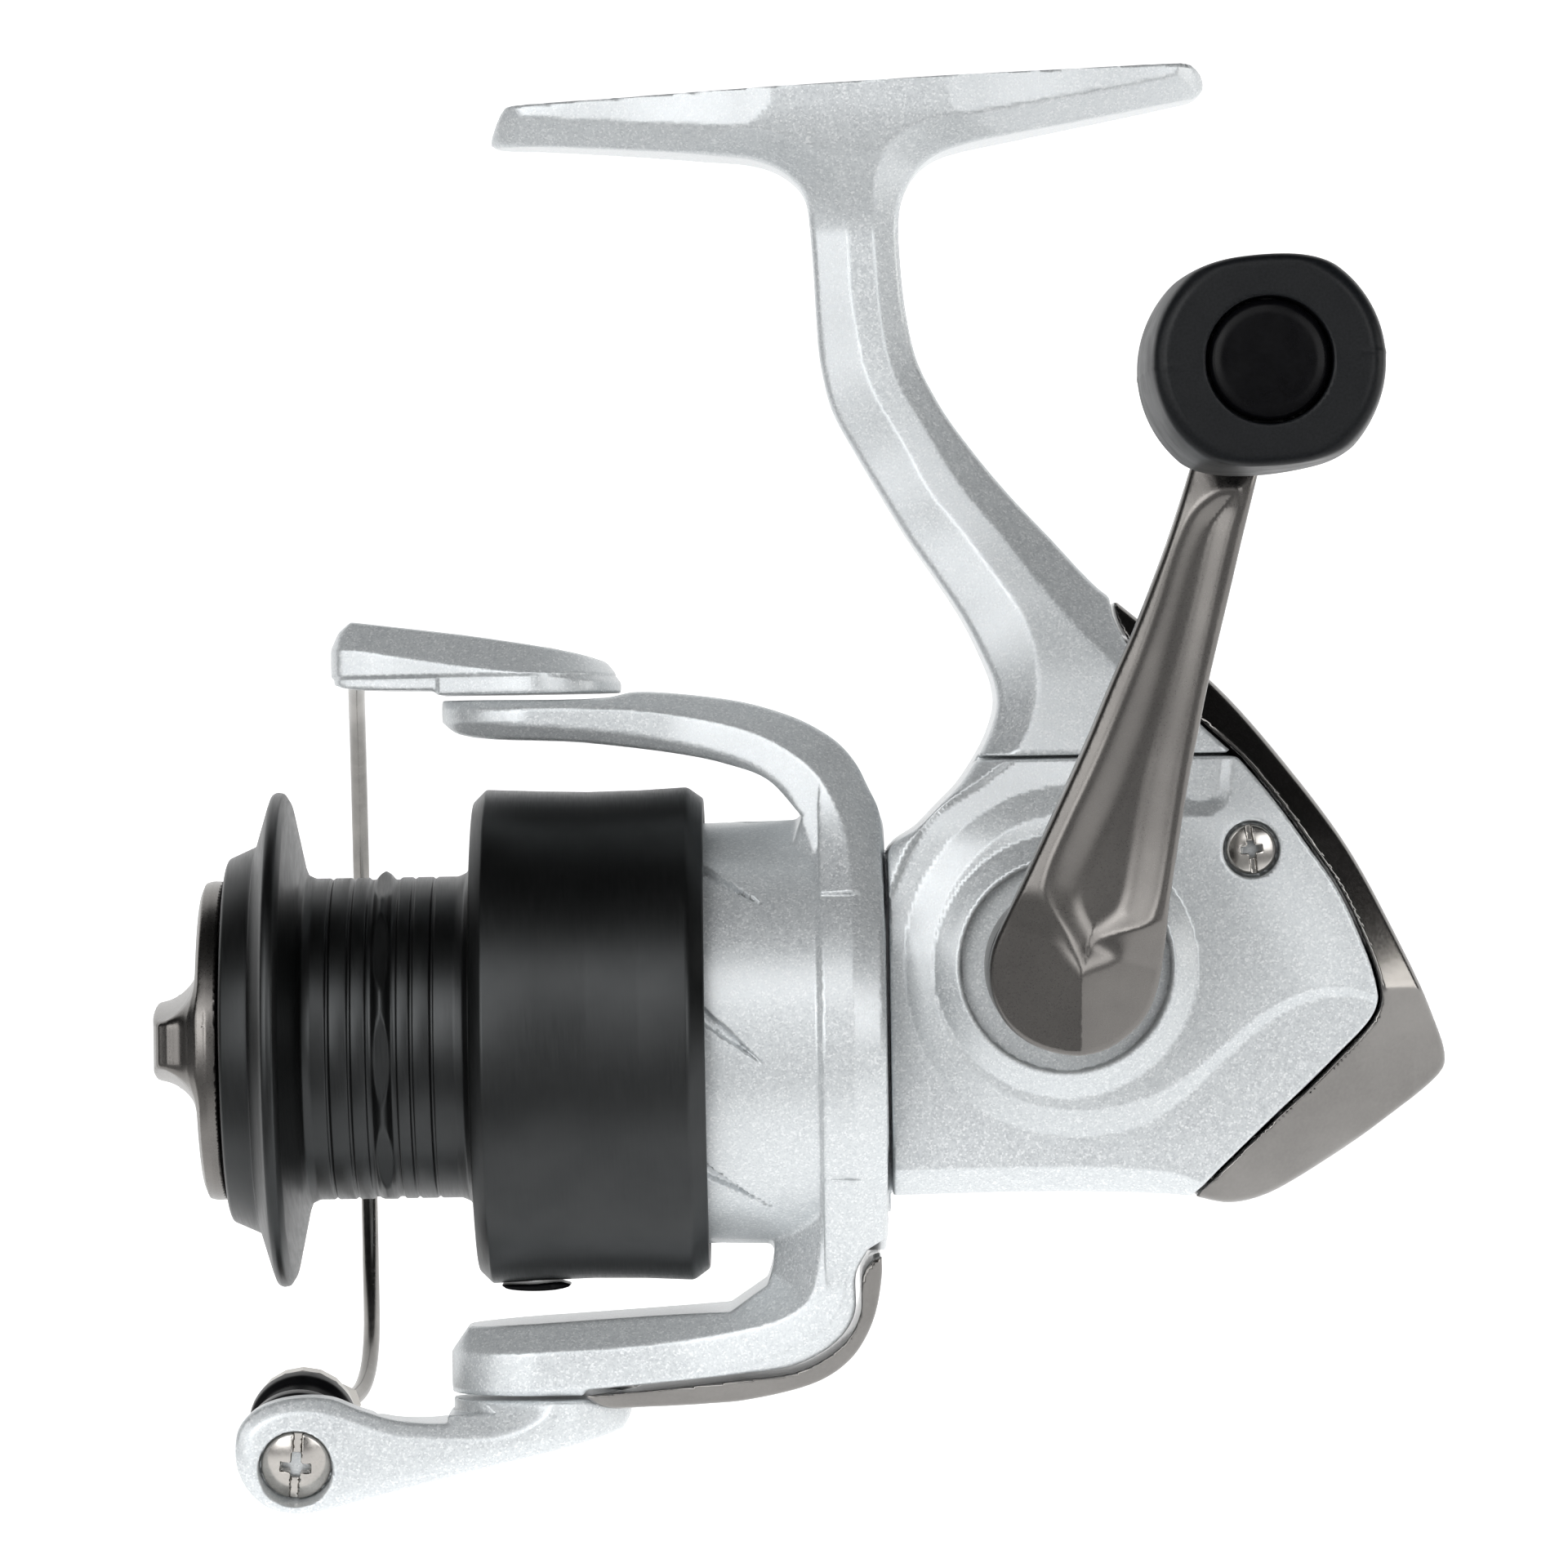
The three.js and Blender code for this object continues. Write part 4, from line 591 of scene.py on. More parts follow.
def cover_field(x, y, z):
    h0 = hull(x, y, z)
    h = rmax(SIDE(x, z), np.abs(y) - half_width(x, z) - features(x, z), EDGE_R(z))
    f = rmax(h, 0.35 - SEAM(x, z), 0.28)
    f = rmax(f, z - 25.1, 0.3)
    f = rmax(f, y + 5.0, 0.2)
    f = rmax(f, 0.5 - x, 0.2)
    far = np.sqrt((x - CRANK_X) ** 2 + (z - CRANK_Z) ** 2)
    f = np.maximum(f, -np.maximum(np.maximum(h0 + 1.9, z - 23.3), 1.8 - x))
    f = np.minimum(f, np.maximum(far - 8.2, slab(y, -13.2, -8.3)))
    f = rmax(f, -np.maximum(far - 9.65, y + 13.7), 0.28)
    f = np.maximum(f, -(far - 4.6))
    f = np.maximum(f, -np.maximum(far - 6.15, -12.5 - y))
    f = np.minimum(f, np.maximum(cyl(x, z, 33.8, 16.5, 3.4), slab(y, -12.6, -5.2)))
    f = rmax(f, -np.maximum(cyl(x, z, 33.8, 16.5, 2.62), y + 12.1), 0.22)
    return f


def rear_field(x, y, z):
    run = np.clip((x - 41.0) * 0.69 + (z + 8.0) * 0.72, -12.0, 12.0)
    crown = 1 + 0.05 * (run / 9.0) ** 2 * ss(4.0, 0.0, z)
    h = hull(x, y * crown, z)
    f = rmax(h, SEAM(x, z), 0.28)
    f = np.maximum(f, -(h + 1.9))
    f = rmin(f, np.maximum(cyl(x, y, 35.6, 0, 3.2), np.maximum(slab(z, -17, -10.5), h)), 0.3)
    return rmax(f, -np.maximum(cyl(x, y, 35.6, 0, 2.1), z + 13.3), 0.2)


field_piece("housing_body", body_field, (-36, -14.2, -17), (48, 16, 91), 0.42, "housing", "pearl_paint", ("frame_body",))
field_piece("housing_side_cover", cover_field, (0, -17, -17), (47, -4.5, 26), 0.33, "housing", "pearl_paint", ("side_cover",))
field_piece("housing_rear_cover", rear_field, (21, -14.2, -17.5), (53, 14.2, 42), 0.36, "housing", "gunmetal_gloss", ("rear_cover",))

# ---------------------------------------------------------------- rotor and its arm cover
CUP = Prof([[-28.0, 17.8], [-28.0, 19.35], [-9.6, 19.75], [-6.3, 19.85], [-5.75, 20.45], [-3.0, 20.5], [-0.35, 19.85], [0, 19.5], [0, 18.6], [-9.8, 18.6], [-9.8, 3.3], [-14.0, 3.3], [-14.0, 6.6], [-12.8, 6.6], [-12.8, 17.8]], curve=False, step=0.2)
UP_ARM = Prof([[-0.2, 13.0], [-0.1, 20.0], [-1.3, 23.0], [-2.3, 25.0], [-3.9, 26.9], [-6.8, 28.8], [-10.4, 30.2], [-14.2, 31.1], [-22.6, 31.9], [-25.4, 31.4], [-40.8, 31.4], [-40.8, 29.4], [-39.0, 28.2], [-27.6, 27.3], [-18.1, 26.0], [-14.3, 25.1], [-10.5, 23.6], [-7.4, 20.2], [-8.0, 18.0], [-9.0, 13.0]])
LOW_ARM = Prof([[-0.2, -13.0], [-0.4, -18.9], [-1.9, -19.8], [-3.0, -21.9], [-3.2, -25.7], [-4.7, -28.1], [-8.5, -30.4], [-14.4, -31.3], [-28.0, -32.6], [-28.4, -33.1], [-41.0, -33.1], [-41.0, -29.6], [-39.1, -26.9], [-18.9, -25.8], [-14.7, -25.6], [-11.2, -23.2], [-10.6, -21.0], [-10.6, -13.0]], sharp=30)
UP_CREASE = Prof([[-44.0, 30.8], [-35.97, 30.45], [-31.44, 30.5], [-27.30, 30.45], [-20.90, 29.97], [-13.39, 28.50], [-9.64, 26.93], [-6.29, 24.39], [-4.45, 21.57], [-3.37, 18.54], [-2.98, 14.77], [-3.1, 4.97], [-3.2, -10], [-5.8, -10.0], [-5.69, 5.01], [-5.80, 12.55], [-6.34, 16.33], [-7.13, 18.98], [-8.59, 22.24], [-10.82, 24.31], [-13.44, 25.6], [-20.94, 27.6], [-28.47, 28.6], [-39.38, 29.4], [-44.0, 29.6]])
LOW_CREASE = Prof([[-44, -32.6], [-29.41, -32.4], [-21.87, -32.0], [-14.32, -30.95], [-9.77, -29.41], [-6.74, -27.85], [-4.43, -25.15], [-3.55, -21.40], [-3.31, -6.33], [-3.2, 8], [-5.8, 8], [-5.87, -6.29], [-6.05, -17.59], [-6.65, -22.10], [-7.44, -24.35], [-9.72, -25.97], [-14.26, -27.26], [-21.82, -28.42], [-29.36, -28.91], [-44, -29.35]])
HALF_ARM = table([(-34, 8.6), (-28, 8.62), (-20, 8.85), (-14, 9.7), (-8, 10.9), (-4, 12.0), (0.3, 12.9)])


def arm_half(x):
    u = np.clip((PIVOT_X - x) / 8.6, 0, 1)
    return np.where(x < PIVOT_X, 8.6 * np.sqrt(np.maximum(1 - u * u, 0)) - 40 * np.maximum(PIVOT_X - 8.6 - x, 0), HALF_ARM(x))


def louvre(x, y, z):
    """Small swept slots round the rotor cup, deepest under the spool skirt and dying away rearwards."""
    phi = np.arctan2(z, -y)
    k = np.pi / 4
    p = np.mod(phi - math.radians(8.5) + k / 2, k) - k / 2
    s = 19.7 * p + (x + 16.4) * 0.98
    th = 1.7 * np.clip((-10.3 - x) / 6.0, 0, 1)
    d = 1.3 * np.clip((-10.3 - x) / 3.0, 0, 1)
    g = np.clip(np.minimum(s + th, -s) / 0.4, 0, 1) * d
    return g * (x > -24) * (x < -10.3)


def rotor_field(x, y, z):
    r = np.sqrt(y * y + z * z)
    cup = CUP(x, r + louvre(x, y, z) * (r > 18.9))
    hu = arm_half(x)
    up = rmax(UP_ARM(x, z), np.abs(y) - hu + 1.05 * soft(UP_CREASE(x, z), 0.12), 0.35)
    lo = rmax(LOW_ARM(x, z), np.abs(y) - hu + 1.05 * soft(LOW_CREASE(x, z), 0.12), 0.35)
    lo = np.where(z < 0, lo, 9.0)
    up = np.where(z > 0, up, 9.0)
    arms = np.maximum(np.minimum(up, lo), 18.9 - r)
    f = rmin(cup, arms, 0.7)
    # the arms grow out of a belt round the back of the cup
    belt = rmin(r - 20.5 + 0.35 * soft(x + 3.1, 0.1), arms, 6.0)
    side = np.minimum(np.minimum(UP_ARM(x, z), LOW_ARM(x, z)), r - 20.5)
    f = np.minimum(f, rmax(rmax(belt, slab(x, -5.9, -0.1), 0.3), side, 0.3))
    f = np.maximum(f, -np.maximum(r - 17.8, slab(x, -30, -12.8)))
    f = np.maximum(f, -np.maximum(r - 18.6, slab(x, -9.8, 2)))
    f = np.minimum(f, np.maximum(CUP(x, r), r - 17.9))
    return f


field_piece("rotor_body", rotor_field, (-42, -21, -34), (1, 21, 33), 0.34, "rotor", "pearl_paint", ("rotor",))
COVER_SIDE = Prof([[-28.2, -33.2], [-26.6, -34.25], [-22.4, -34.3], [-17.1, -34.1], [-12.8, -33.7], [-6.6, -32.1], [-3.7, -30.1], [-2.2, -28.0], [-1.2, -25.5], [-0.6, -21.8], [-0.65, -20.4], [-1.4, -20.7], [-2.4, -22.1], [-2.7, -25.8], [-4.2, -28.5], [-8.2, -31.0], [-14.3, -31.85], [-22.0, -32.65], [-28.0, -33.1]], sharp=60)


def arm_cover_field(x, y, z):
    r = np.sqrt(y * y + z * z)
    c = soft(LOW_CREASE(x, z) - 0.4, 0.25)
    f = rmax(COVER_SIDE(x, z), np.abs(y) - arm_half(x) - 0.15 + 0.85 * c, 0.35)
    f = rmax(f, 20.86 - r, 0.2)
    f = rmax(f, 8.8 - np.sqrt((x - PIVOT_X) ** 2 + y * y), 0.2)
    return rmax(f, -np.maximum(cyl(x, y, -14.0, 5.9, 1.75), z + 33.15), 0.15)


field_piece("rotor_arm_cover", arm_cover_field, (-29.5, -13.5, -35), (0.5, 13.5, -19.5), 0.30, "rotor", "gunmetal_gloss", ("arm_cover",))

# ---------------------------------------------------------------- bail: lever, roller arm, wire
LEVER_SIDE = Prof([[-51.7, 35.5], [-51.7, 37.0], [-49.2, 38.9], [-44.6, 38.3], [-37.4, 37.3], [-28.0, 35.6], [-25.0, 34.7], [-23.8, 33.4], [-24.0, 31.9], [-40.9, 31.9], [-41.4, 32.3], [-50.0, 32.75], [-51.3, 33.3]], sharp=24)
arc_pts = [[PIVOT_X + 8.45 * math.cos(t), 8.45 * math.sin(t)] for t in np.linspace(-math.pi / 2, math.pi / 2, 13)]
LEVER_PLAN = Prof(arc_pts + [[-38, 7.4], [-44, 6.3], [-49.6, 5.6], [-51.4, 4.4], [-51.8, 1.8], [-51.75, -0.8], [-50.6, -2.4], [-44, -4.6], [-38, -7.0]], sharp=60)
LEVER_TOP = Prof([[-50.6, 36.3], [-48.0, 36.1], [-44.5, 35.5], [-36.9, 34.3], [-26.0, 33.0], [-20, 32.4], [-20, 28], [-60, 28], [-60, 36.3]], sharp=12)


def lever_field(x, y, z):
    p = LEVER_PLAN(x, y)
    top = soft(LEVER_TOP(x, z), 0.1)
    ledge = (0.5 - 0.3 * ss(-41.15, -40.75, x)) * ss(33.78, 33.5, z)
    end = 0.9 * soft(-50.3 - x, 0.1)
    f = rmax(LEVER_SIDE(x, z), p + 0.85 * top + ledge + end, 0.25)
    return rmax(f, -np.maximum(cyl(x, y, PIVOT_X, 0, 3.3), 34.45 - z), 0.2)


field_piece("bail_lever_body", lever_field, (-52.5, -9, 31.5), (-23, 9, 39.5), 0.26, "bail", "pearl_paint", ("bail_lever",))
ROLLER_SIDE = Prof([[-24.2, -33.55], [-24.1, -35.2], [-24.9, -36.6], [-30.4, -38.0], [-39.9, -40.2], [-47.5, -42.0], [-53.2, -43.35], [-55.1, -43.5], [-57.4, -43.0], [-59.0, -41.8], [-60.2, -39.9], [-60.6, -37.6], [-60.2, -35.5], [-59.0, -34.1], [-57.2, -33.2], [-54.5, -32.75], [-51.6, -32.95], [-49.3, -33.9], [-46.0, -35.0], [-43.0, -35.4], [-41.0, -35.45], [-41.0, -33.55]], sharp=45)
ROLLER_PLAN = Prof(arc_pts + [[-38, 6.6], [-41.5, 3.0], [-45.5, -1.6], [-49.0, -4.4], [-54, -4.9], [-60, -4.9], [-61.5, -5.2], [-61.5, -10.1], [-56, -10.1], [-50, -9.8], [-40, -8.75]], sharp=60)
ROLLER_IN = Prof([[-23.0, -34.2], [-23.0, -35.9], [-30.4, -37.0], [-39.9, -39.1], [-47.5, -40.9], [-53.2, -42.2], [-55.3, -42.3], [-57.6, -41.4], [-59.0, -39.6], [-59.4, -37.6], [-59.0, -35.9], [-57.2, -34.6], [-54.5, -34.1], [-51.6, -34.5], [-49.3, -35.3], [-46.0, -36.4], [-41.0, -36.9], [-36, -36.8], [-32, -35.0], [-31, -33], [-23, -33]], sharp=50)
rc, rs = math.cos(ROLLER_TILT), math.sin(ROLLER_TILT)


def leaned(x, y, z):
    """Distance along the roller axis and out from it."""
    a = y * rc + (z - ROLLER_Z) * rs
    b = -y * rs + (z - ROLLER_Z) * rc
    return a, np.sqrt((x - ROLLER_X) ** 2 + b * b)


def roller_arm_field(x, y, z):
    a, r = leaned(x, y, z)
    p = ROLLER_PLAN(x, y)
    f = rmax(ROLLER_SIDE(x, z), p + 0.62 * soft(ROLLER_IN(x, z), 0.3), 0.4)
    q = np.sqrt((x - PIVOT_X) ** 2 + y * y)
    f = np.maximum(f, -np.maximum(np.maximum(8.45 - q, q - 16.5), -34.75 - z))
    f = rmax(f, -np.maximum(r - 3.45, a + 8.25), 0.18)
    f = np.maximum(f, -np.maximum(r - 6.2, slab(a, -4.5, 8)))
    return rmax(f, -np.maximum(cyl(x, y, PIVOT_X, 0, 3.3), z + 36.0), 0.15)


field_piece("line_roller_arm_body", roller_arm_field, (-61.5, -10.8, -44.4), (-23, 9, -32), 0.30, "bail", "pearl_paint", ("line_roller_arm",))


def sweep(name, pts, radius, segs, steps, body, slot_name, replaces):
    """A bent wire: a tube swept along a smooth path, its ends rounded."""
    P = np.array(pts, float)
    n = len(P)
    ext = np.vstack([2 * P[0] - P[1], P, 2 * P[-1] - P[-2]])
    C = []
    for i in range(n - 1):
        p0, p1, p2, p3 = ext[i : i + 4]
        for k in range(steps):
            t = k / steps
            C.append(0.5 * (2 * p1 + (p2 - p0) * t + (2 * p0 - 5 * p1 + 4 * p2 - p3) * t * t + (3 * p1 - 3 * p2 + p3 - p0) * t**3))
    C.append(P[-1])
    C = np.array(C)
    T = np.gradient(C, axis=0)
    T /= np.linalg.norm(T, axis=1)[:, None]
    up = np.array([1.0, 0, 0])
    V, faces = [], []
    R = np.full(len(C), radius)
    for i, (c, t) in enumerate(zip(C, T)):
        a = up - t * (up @ t)
        a /= np.linalg.norm(a)
        b = np.cross(t, a)
        up = a
        for k in range(segs):
            q = 2 * math.pi * k / segs
            V.append(c + R[i] * (a * math.cos(q) + b * math.sin(q)))
    for i in range(len(C) - 1):
        for k in range(segs):
            l = (k + 1) % segs
            faces.append((i * segs + k, i * segs + l, (i + 1) * segs + l, (i + 1) * segs + k))
    for i, s in ((0, -1), (len(C) - 1, 1)):
        tip = len(V)
        V.append(C[i] + T[i] * s * radius * 0.6)
        for k in range(segs):
            l = (k + 1) % segs
            faces.append((i * segs + k, i * segs + l, tip) if s > 0 else (i * segs + l, i * segs + k, tip))
    return made(name, body, slot_name, replaces, mesh_piece(name, np.array(V), faces))


WIRE = [[-48.4, 2.0, 35.3], [-49.1, 8.0, 35.0], [-49.8, 18.0, 32.7], [-50.3, 28.0, 27.6], [-50.7, 36.6, 19.0], [-50.9, 41.6, 8.0], [-50.9, 42.5, -2.0], [-50.6, 40.2, -13.0], [-50.2, 34.2, -23.0], [-49.8, 26.0, -30.2], [-50.2, 18.5, -33.9], [-51.8, 12.5, -35.2], [-53.2, 9.4, -35.0]]
sweep("bail_wire_hoop", WIRE, 0.8, 20, 12, "bail", "stainless", ("bail_wire",))


def lean_points(P):
    """From points drawn along Y about the origin to the leaned roller axis."""
    x, y, z = P[:, 0], P[:, 1], P[:, 2]
    return np.stack([x + ROLLER_X, y * rc - z * rs, y * rs + z * rc + ROLLER_Z], 1)


lathe("line_roller_body", [[-4.0, 3.15], [-4.0, 5.05], [-3.6, 5.25], [-2.3, 5.2], [-1.5, 4.5], [0.0, 4.2], [1.2, 4.5], [2.0, 5.05], [3.2, 5.1], [3.6, 4.9], [3.6, 3.15]], "y", (0, 0, 0), 72, "roller", "black_ceramic", ("line_roller",), r=0.25, closed=True, tilt=lean_points)

# ---------------------------------------------------------------- screws
def screw_field(r, dome, cross, slot_half, depth):
    """A pan head along -h: h is the height below the top of the head."""

    def f(h, q, a, b):
        top = h - dome * (1 - np.clip(q / r, 0, 1) ** 2)
        f = rmax(q - r, top, 0.22)
        arm = np.minimum(np.maximum(np.abs(a) - cross * 0.24, np.abs(b) - cross), np.maximum(np.abs(b) - cross * 0.24, np.abs(a) - cross))
        return f, arm

    return f


def screw_piece(name, axis, at, sgn, r, dome, thick, body, node, twist=0.3, lean=False, shank=None, slotted=True):
    """A pan-head screw with a combined slot and cross recess. at is the middle of the head's seat side; sgn points out of the head."""
    e = {"y": (1, 0, 2), "z": (2, 0, 1), "x": (0, 1, 2)}[axis]
    ct_, st_ = math.cos(twist), math.sin(twist)
    bottom = shank if shank is not None else -thick

    def F(x, y, z):
        if lean:
            a = y * rc + (z - ROLLER_Z) * rs
            b = -y * rs + (z - ROLLER_Z) * rc
            p = (x - ROLLER_X, a, b)
            h, u, v = (p[1] - at[1]) * sgn, p[0], p[2]
        else:
            p = (x - at[0], y - at[1], z - at[2])
            h, u, v = p[e[0]] * sgn, p[e[1]], p[e[2]]
        q = np.sqrt(u * u + v * v)
        s, t = u * ct_ + v * st_, -u * st_ + v * ct_
        head = rmax(q - r, h - thick - dome * (1 - np.clip(q / r, 0, 1) ** 2), 0.25)
        head = np.maximum(head, -h)
        deep = thick + dome * 0.6 - 0.95
        w = 0.135 * r
        L = 0.40 * r + 0.25 * (h - thick)
        cross = np.minimum(np.maximum(np.abs(s) - w, np.abs(t) - L), np.maximum(np.abs(t) - w, np.abs(s) - L))
        cut = np.maximum(cross, deep - 0.35 - h)
        cut = np.minimum(cut, np.maximum(np.sqrt(s * s + t * t) - 0.22 * r, deep - 0.55 - h))
        if slotted:
            cut = np.minimum(cut, np.maximum(np.abs(s) - 0.12 * r, deep + 0.25 - h))
        f = rmax(head, -cut, 0.05)
        if shank is not None:
            f = np.minimum(f, np.maximum(q - shank[0], slab(h, shank[1], 0.2)))
        return f

    lo, hi = np.array(at, float) - (r + 1), np.array(at, float) + (r + 1)
    if lean:
        c = lean_points(np.array([[0.0, at[1], 0.0]]))[0]
        lo, hi = c - (r + 1.4), c + (r + 1.4)
    if shank is not None and not lean:
        k = e[0]
        tip = at[k] + sgn * shank[1]
        lo[k], hi[k] = min(lo[k], tip - 0.3), max(hi[k], tip + 0.3)
    return field_piece(name, F, lo, hi, r / 17.0, body, "nickel_screw", (node,))


screw_piece("cover_screw_rear", "y", (33.8, -12.35, 16.5), -1, 2.3, 0.45, 0.95, "housing", "side_cover_screw_rear", 0.12)
screw_piece("roller_screw_head", "y", (0, -8.5, 0), -1, 3.22, 0.75, 0.5, "bail", "roller_screw", -0.1, lean=True)
screw_piece("pivot_screw_upper_head", "z", (PIVOT_X, 0, 34.6), 1, 3.0, 0.5, 1.3, "bail", "pivot_screw_upper", 0.4)
screw_piece("pivot_screw_lower_head", "z", (PIVOT_X, 0, -36.2), -1, 3.0, 0.5, 1.3, "bail", "pivot_screw_lower", 0.9)
screw_piece("arm_cover_screw_head", "z", (-14.0, 5.9, -33.25), -1, 1.55, 0.25, 0.7, "rotor", "arm_cover_screw", 0.5)
screw_piece("rear_cover_screw_head", "z", (35.6, 0, -13.6), -1, 1.85, 0.3, 1.0, "housing", "rear_cover_screw", 0.2)
screw_piece("cover_screw_front", "y", (3.9, 11.7, -11.0), 1, 1.95, 0.35, 0.95, "housing", "side_cover_screw_front", 0.6)

# ---------------------------------------------------------------- crank: arm, collar, knob
H_OUT = Prof([[-7.5, 0], [-7.15, -2.4], [-6.1, -4.5], [-4.3, -6.2], [-2.2, -7.3], [0, -7.62], [2.6, -7.45], [7.8, -6.45], [11.5, -5.95], [18.7, -5.05], [23.1, -4.65], [27.85, -4.25], [35.3, -3.85], [42.6, -3.45], [50.0, -3.2], [54.0, -3.1], [56.2, -2.4], [57.4, -1.2], [57.7, 0.1], [57.4, 1.2], [56.2, 2.2], [54.0, 2.7], [46.7, 2.5], [39.1, 2.65], [35.3, 2.9], [30.7, 3.3], [25.6, 3.95], [19.8, 4.6], [14.65, 5.35], [8.0, 6.35], [4.06, 6.95], [0, 7.5], [-2.3, 7.2], [-4.4, 6.2], [-6.2, 4.5], [-7.2, 2.4]], sharp=60)
DISH = Prof([[0.31, -0.51], [1.52, 1.33], [3.91, 3.51], [5.88, 4.42], [8.21, 4.60], [12.5, 4.1], [17.81, 3.23], [25.71, 2.25], [33.00, 1.7], [39.0, 1.55], [41.8, 1.0], [43.9, -0.6], [44.4, -1.8], [43.2, -2.3], [40.84, -2.35], [34.22, -2.75], [27.28, -3.35], [19.90, -4.10], [11.28, -5.20], [7.45, -5.50], [5.19, -5.15], [2.09, -2.95]], sharp=60)
H_TOP = table([(-9, 36.0), (0, 36.7), (10, 37.5), (20, 38.8), (30, 40.8), (41, 43.0), (50, 44.6), (59, 45.2)])
H_BOT = table([(-9, 30.7), (10, 30.7), (17, 31.2), (23, 33.2), (30, 35.6), (41, 38.5), (47, 40.0), (54, 41.7), (59, 42.2)])
ca, sa = math.cos(ARM_A), math.sin(ARM_A)


def arm_field(x, y, z):
    u = (x - CRANK_X) * ca + (z - CRANK_Z) * sa
    v = -(x - CRANK_X) * sa + (z - CRANK_Z) * ca
    w = -y
    d = DISH(u, v)
    qu, qv = u - 0.31, v + 0.51
    hub = np.maximum(-0.57 * qu + 0.82 * qv, -0.08 * qu - 0.99 * qv)
    k = ss(2.0, 6.5, u)
    out = soft(np.where(k > 0, d, hub) * k + hub * (1 - k), 0.35)
    out = np.where(u > 42.0, np.minimum(out, 1.5 + 8.0 * ss(49.0, 42.0, u)), out)
    slope = 0.46 + 0.12 * ss(5, 14, u) - 0.10 * ss(44, 50, u)
    deep = 1.5 * ss(-0.7, 3.6 - 1.6 * ss(14, 36, u), -d) * (0.7 + 0.3 * ss(34, 10, u))
    top = H_TOP(u) - slope * out - deep
    f = rmax(w - top, H_BOT(u) - w, 0.55)
    f = rmax(f, H_OUT(u, v), 0.5)
    return f


field_piece("handle_arm_body", arm_field, (7, -46.5, -3), (42, -29.5, 63), 0.28, "crank", "gunmetal_satin", ("handle_arm",))
lathe("handle_collar_body", [[-14.1, 0], [-14.1, 5.0], [-14.1, 7.1], [-14.5, 7.5], [-29.9, 7.55], [-30.4, 7.1], [-30.4, 0]], "y", (CRANK_X, 0, CRANK_Z), 96, "crank", "gunmetal_satin", ("handle_collar",), r=0.3)


def oval(a, b, n, e):
    out = []
    for i in range(n):
        t = 2 * math.pi * i / n
        c, s = math.cos(t), math.sin(t)
        out.append([a * math.copysign(abs(c) ** (2 / e), c), b * math.copysign(abs(s) ** (2 / e), s)])
    return out


KNOB_R = table([(-76.2, 9.2), (-74.6, 9.75), (-71, 10.05), (-66, 10.25), (-60, 10.3), (-54, 9.85), (-49.5, 8.75), (-46.8, 7.0), (-45, 5.2)])
KNOB_TURN = math.radians(3.6)


def knob_field(x, y, z):
    u, v = x - KNOB_X, z - KNOB_Z
    r = np.sqrt(u * u + v * v)
    c, s = math.cos(KNOB_TURN), math.sin(KNOB_TURN)
    a, b = u * c + v * s, -u * s + v * c
    flat = np.abs(b) - 8.86 + 0.019 * a * a + 0.25 * ss(-60, -47, y)
    f = rmax(r - KNOB_R(y), flat, 0.6)
    f = rmax(f, -75.95 - y, 0.85)
    f = rmax(f, y + 46.0, 0.8)
    f = rmax(f, -np.maximum(r - 5.34, y + 73.35), 0.2)
    f = np.maximum(f, -(r - 2.3))
    f = np.maximum(f, -np.maximum(r - 3.95, slab(y, -73.4, -64.8)))
    f = np.maximum(f, -np.maximum(r - 4.15, slab(y, -49.6, -45)))
    seam = np.exp(-((b / 0.22) ** 2)) * 0.05 * ss(7, 8, r)
    return f - seam


field_piece("knob_grip_body", knob_field, (KNOB_X - 11.5, -76.5, KNOB_Z - 10), (KNOB_X + 11.5, -45.5, KNOB_Z + 10), 0.32, "knob", "knob_rubber", ("knob_grip",))
lathe("knob_cap", [[-73.6, 0], [-73.6, 5.06], [-75.3, 5.06], [-75.75, 4.75], [-75.9, 4.0], [-75.9, 0]], "y", (KNOB_X, 0, KNOB_Z), 96, "knob", "black_gloss", ("knob_end_cap",), r=0.25)

# ---------------------------------------------------------------- spool
def notch(x, d=0.16, w=0.22):
    return [[x - w, 15.0], [x - w * 0.4, 15.0 - d], [x + w * 0.4, 15.0 - d], [x + w, 15.0]]


spool_pts = [[-61.0, 11.4], [-61.0, 16.5], [-60.8, 16.95], [-58.45, 18.0], [-58.2, 18.15], [-57.0, 22.1], [-56.7, 22.9], [-56.3, 23.1], [-55.7, 23.0], [-55.2, 22.2], [-53.95, 16.4], [-53.55, 15.35], [-52.8, 15.0]]
for g in (-51.2, -49.2):
    spool_pts += notch(g)
spool_pts += [[-47.75, 15.0], [-47.6, 14.8], [-47.15, 14.8], [-46.75, 15.3], [-46.25, 15.62], [-45.75, 15.3], [-45.35, 14.8], [-44.9, 14.8], [-44.75, 15.0]]
for g in (-43.5, -41.6):
    spool_pts += notch(g)
spool_pts += [[-39.5, 15.0], [-38.7, 15.35], [-38.25, 16.2], [-38.05, 20.6], [-37.95, 21.85], [-36.75, 23.04], [-31.5, 22.82], [-27.3, 22.7], [-22.5, 22.78], [-18.15, 23.0], [-17.85, 22.9], [-16.6, 22.0], [-16.5, 21.8], [-16.5, 21.3], [-36.2, 21.1], [-36.2, 16.0], [-39.6, 13.2], [-48.0, 13.2], [-48.0, 6.0], [-34.5, 6.0], [-34.5, 2.0], [-50.2, 2.0], [-50.2, 10.8], [-60.2, 10.8]]


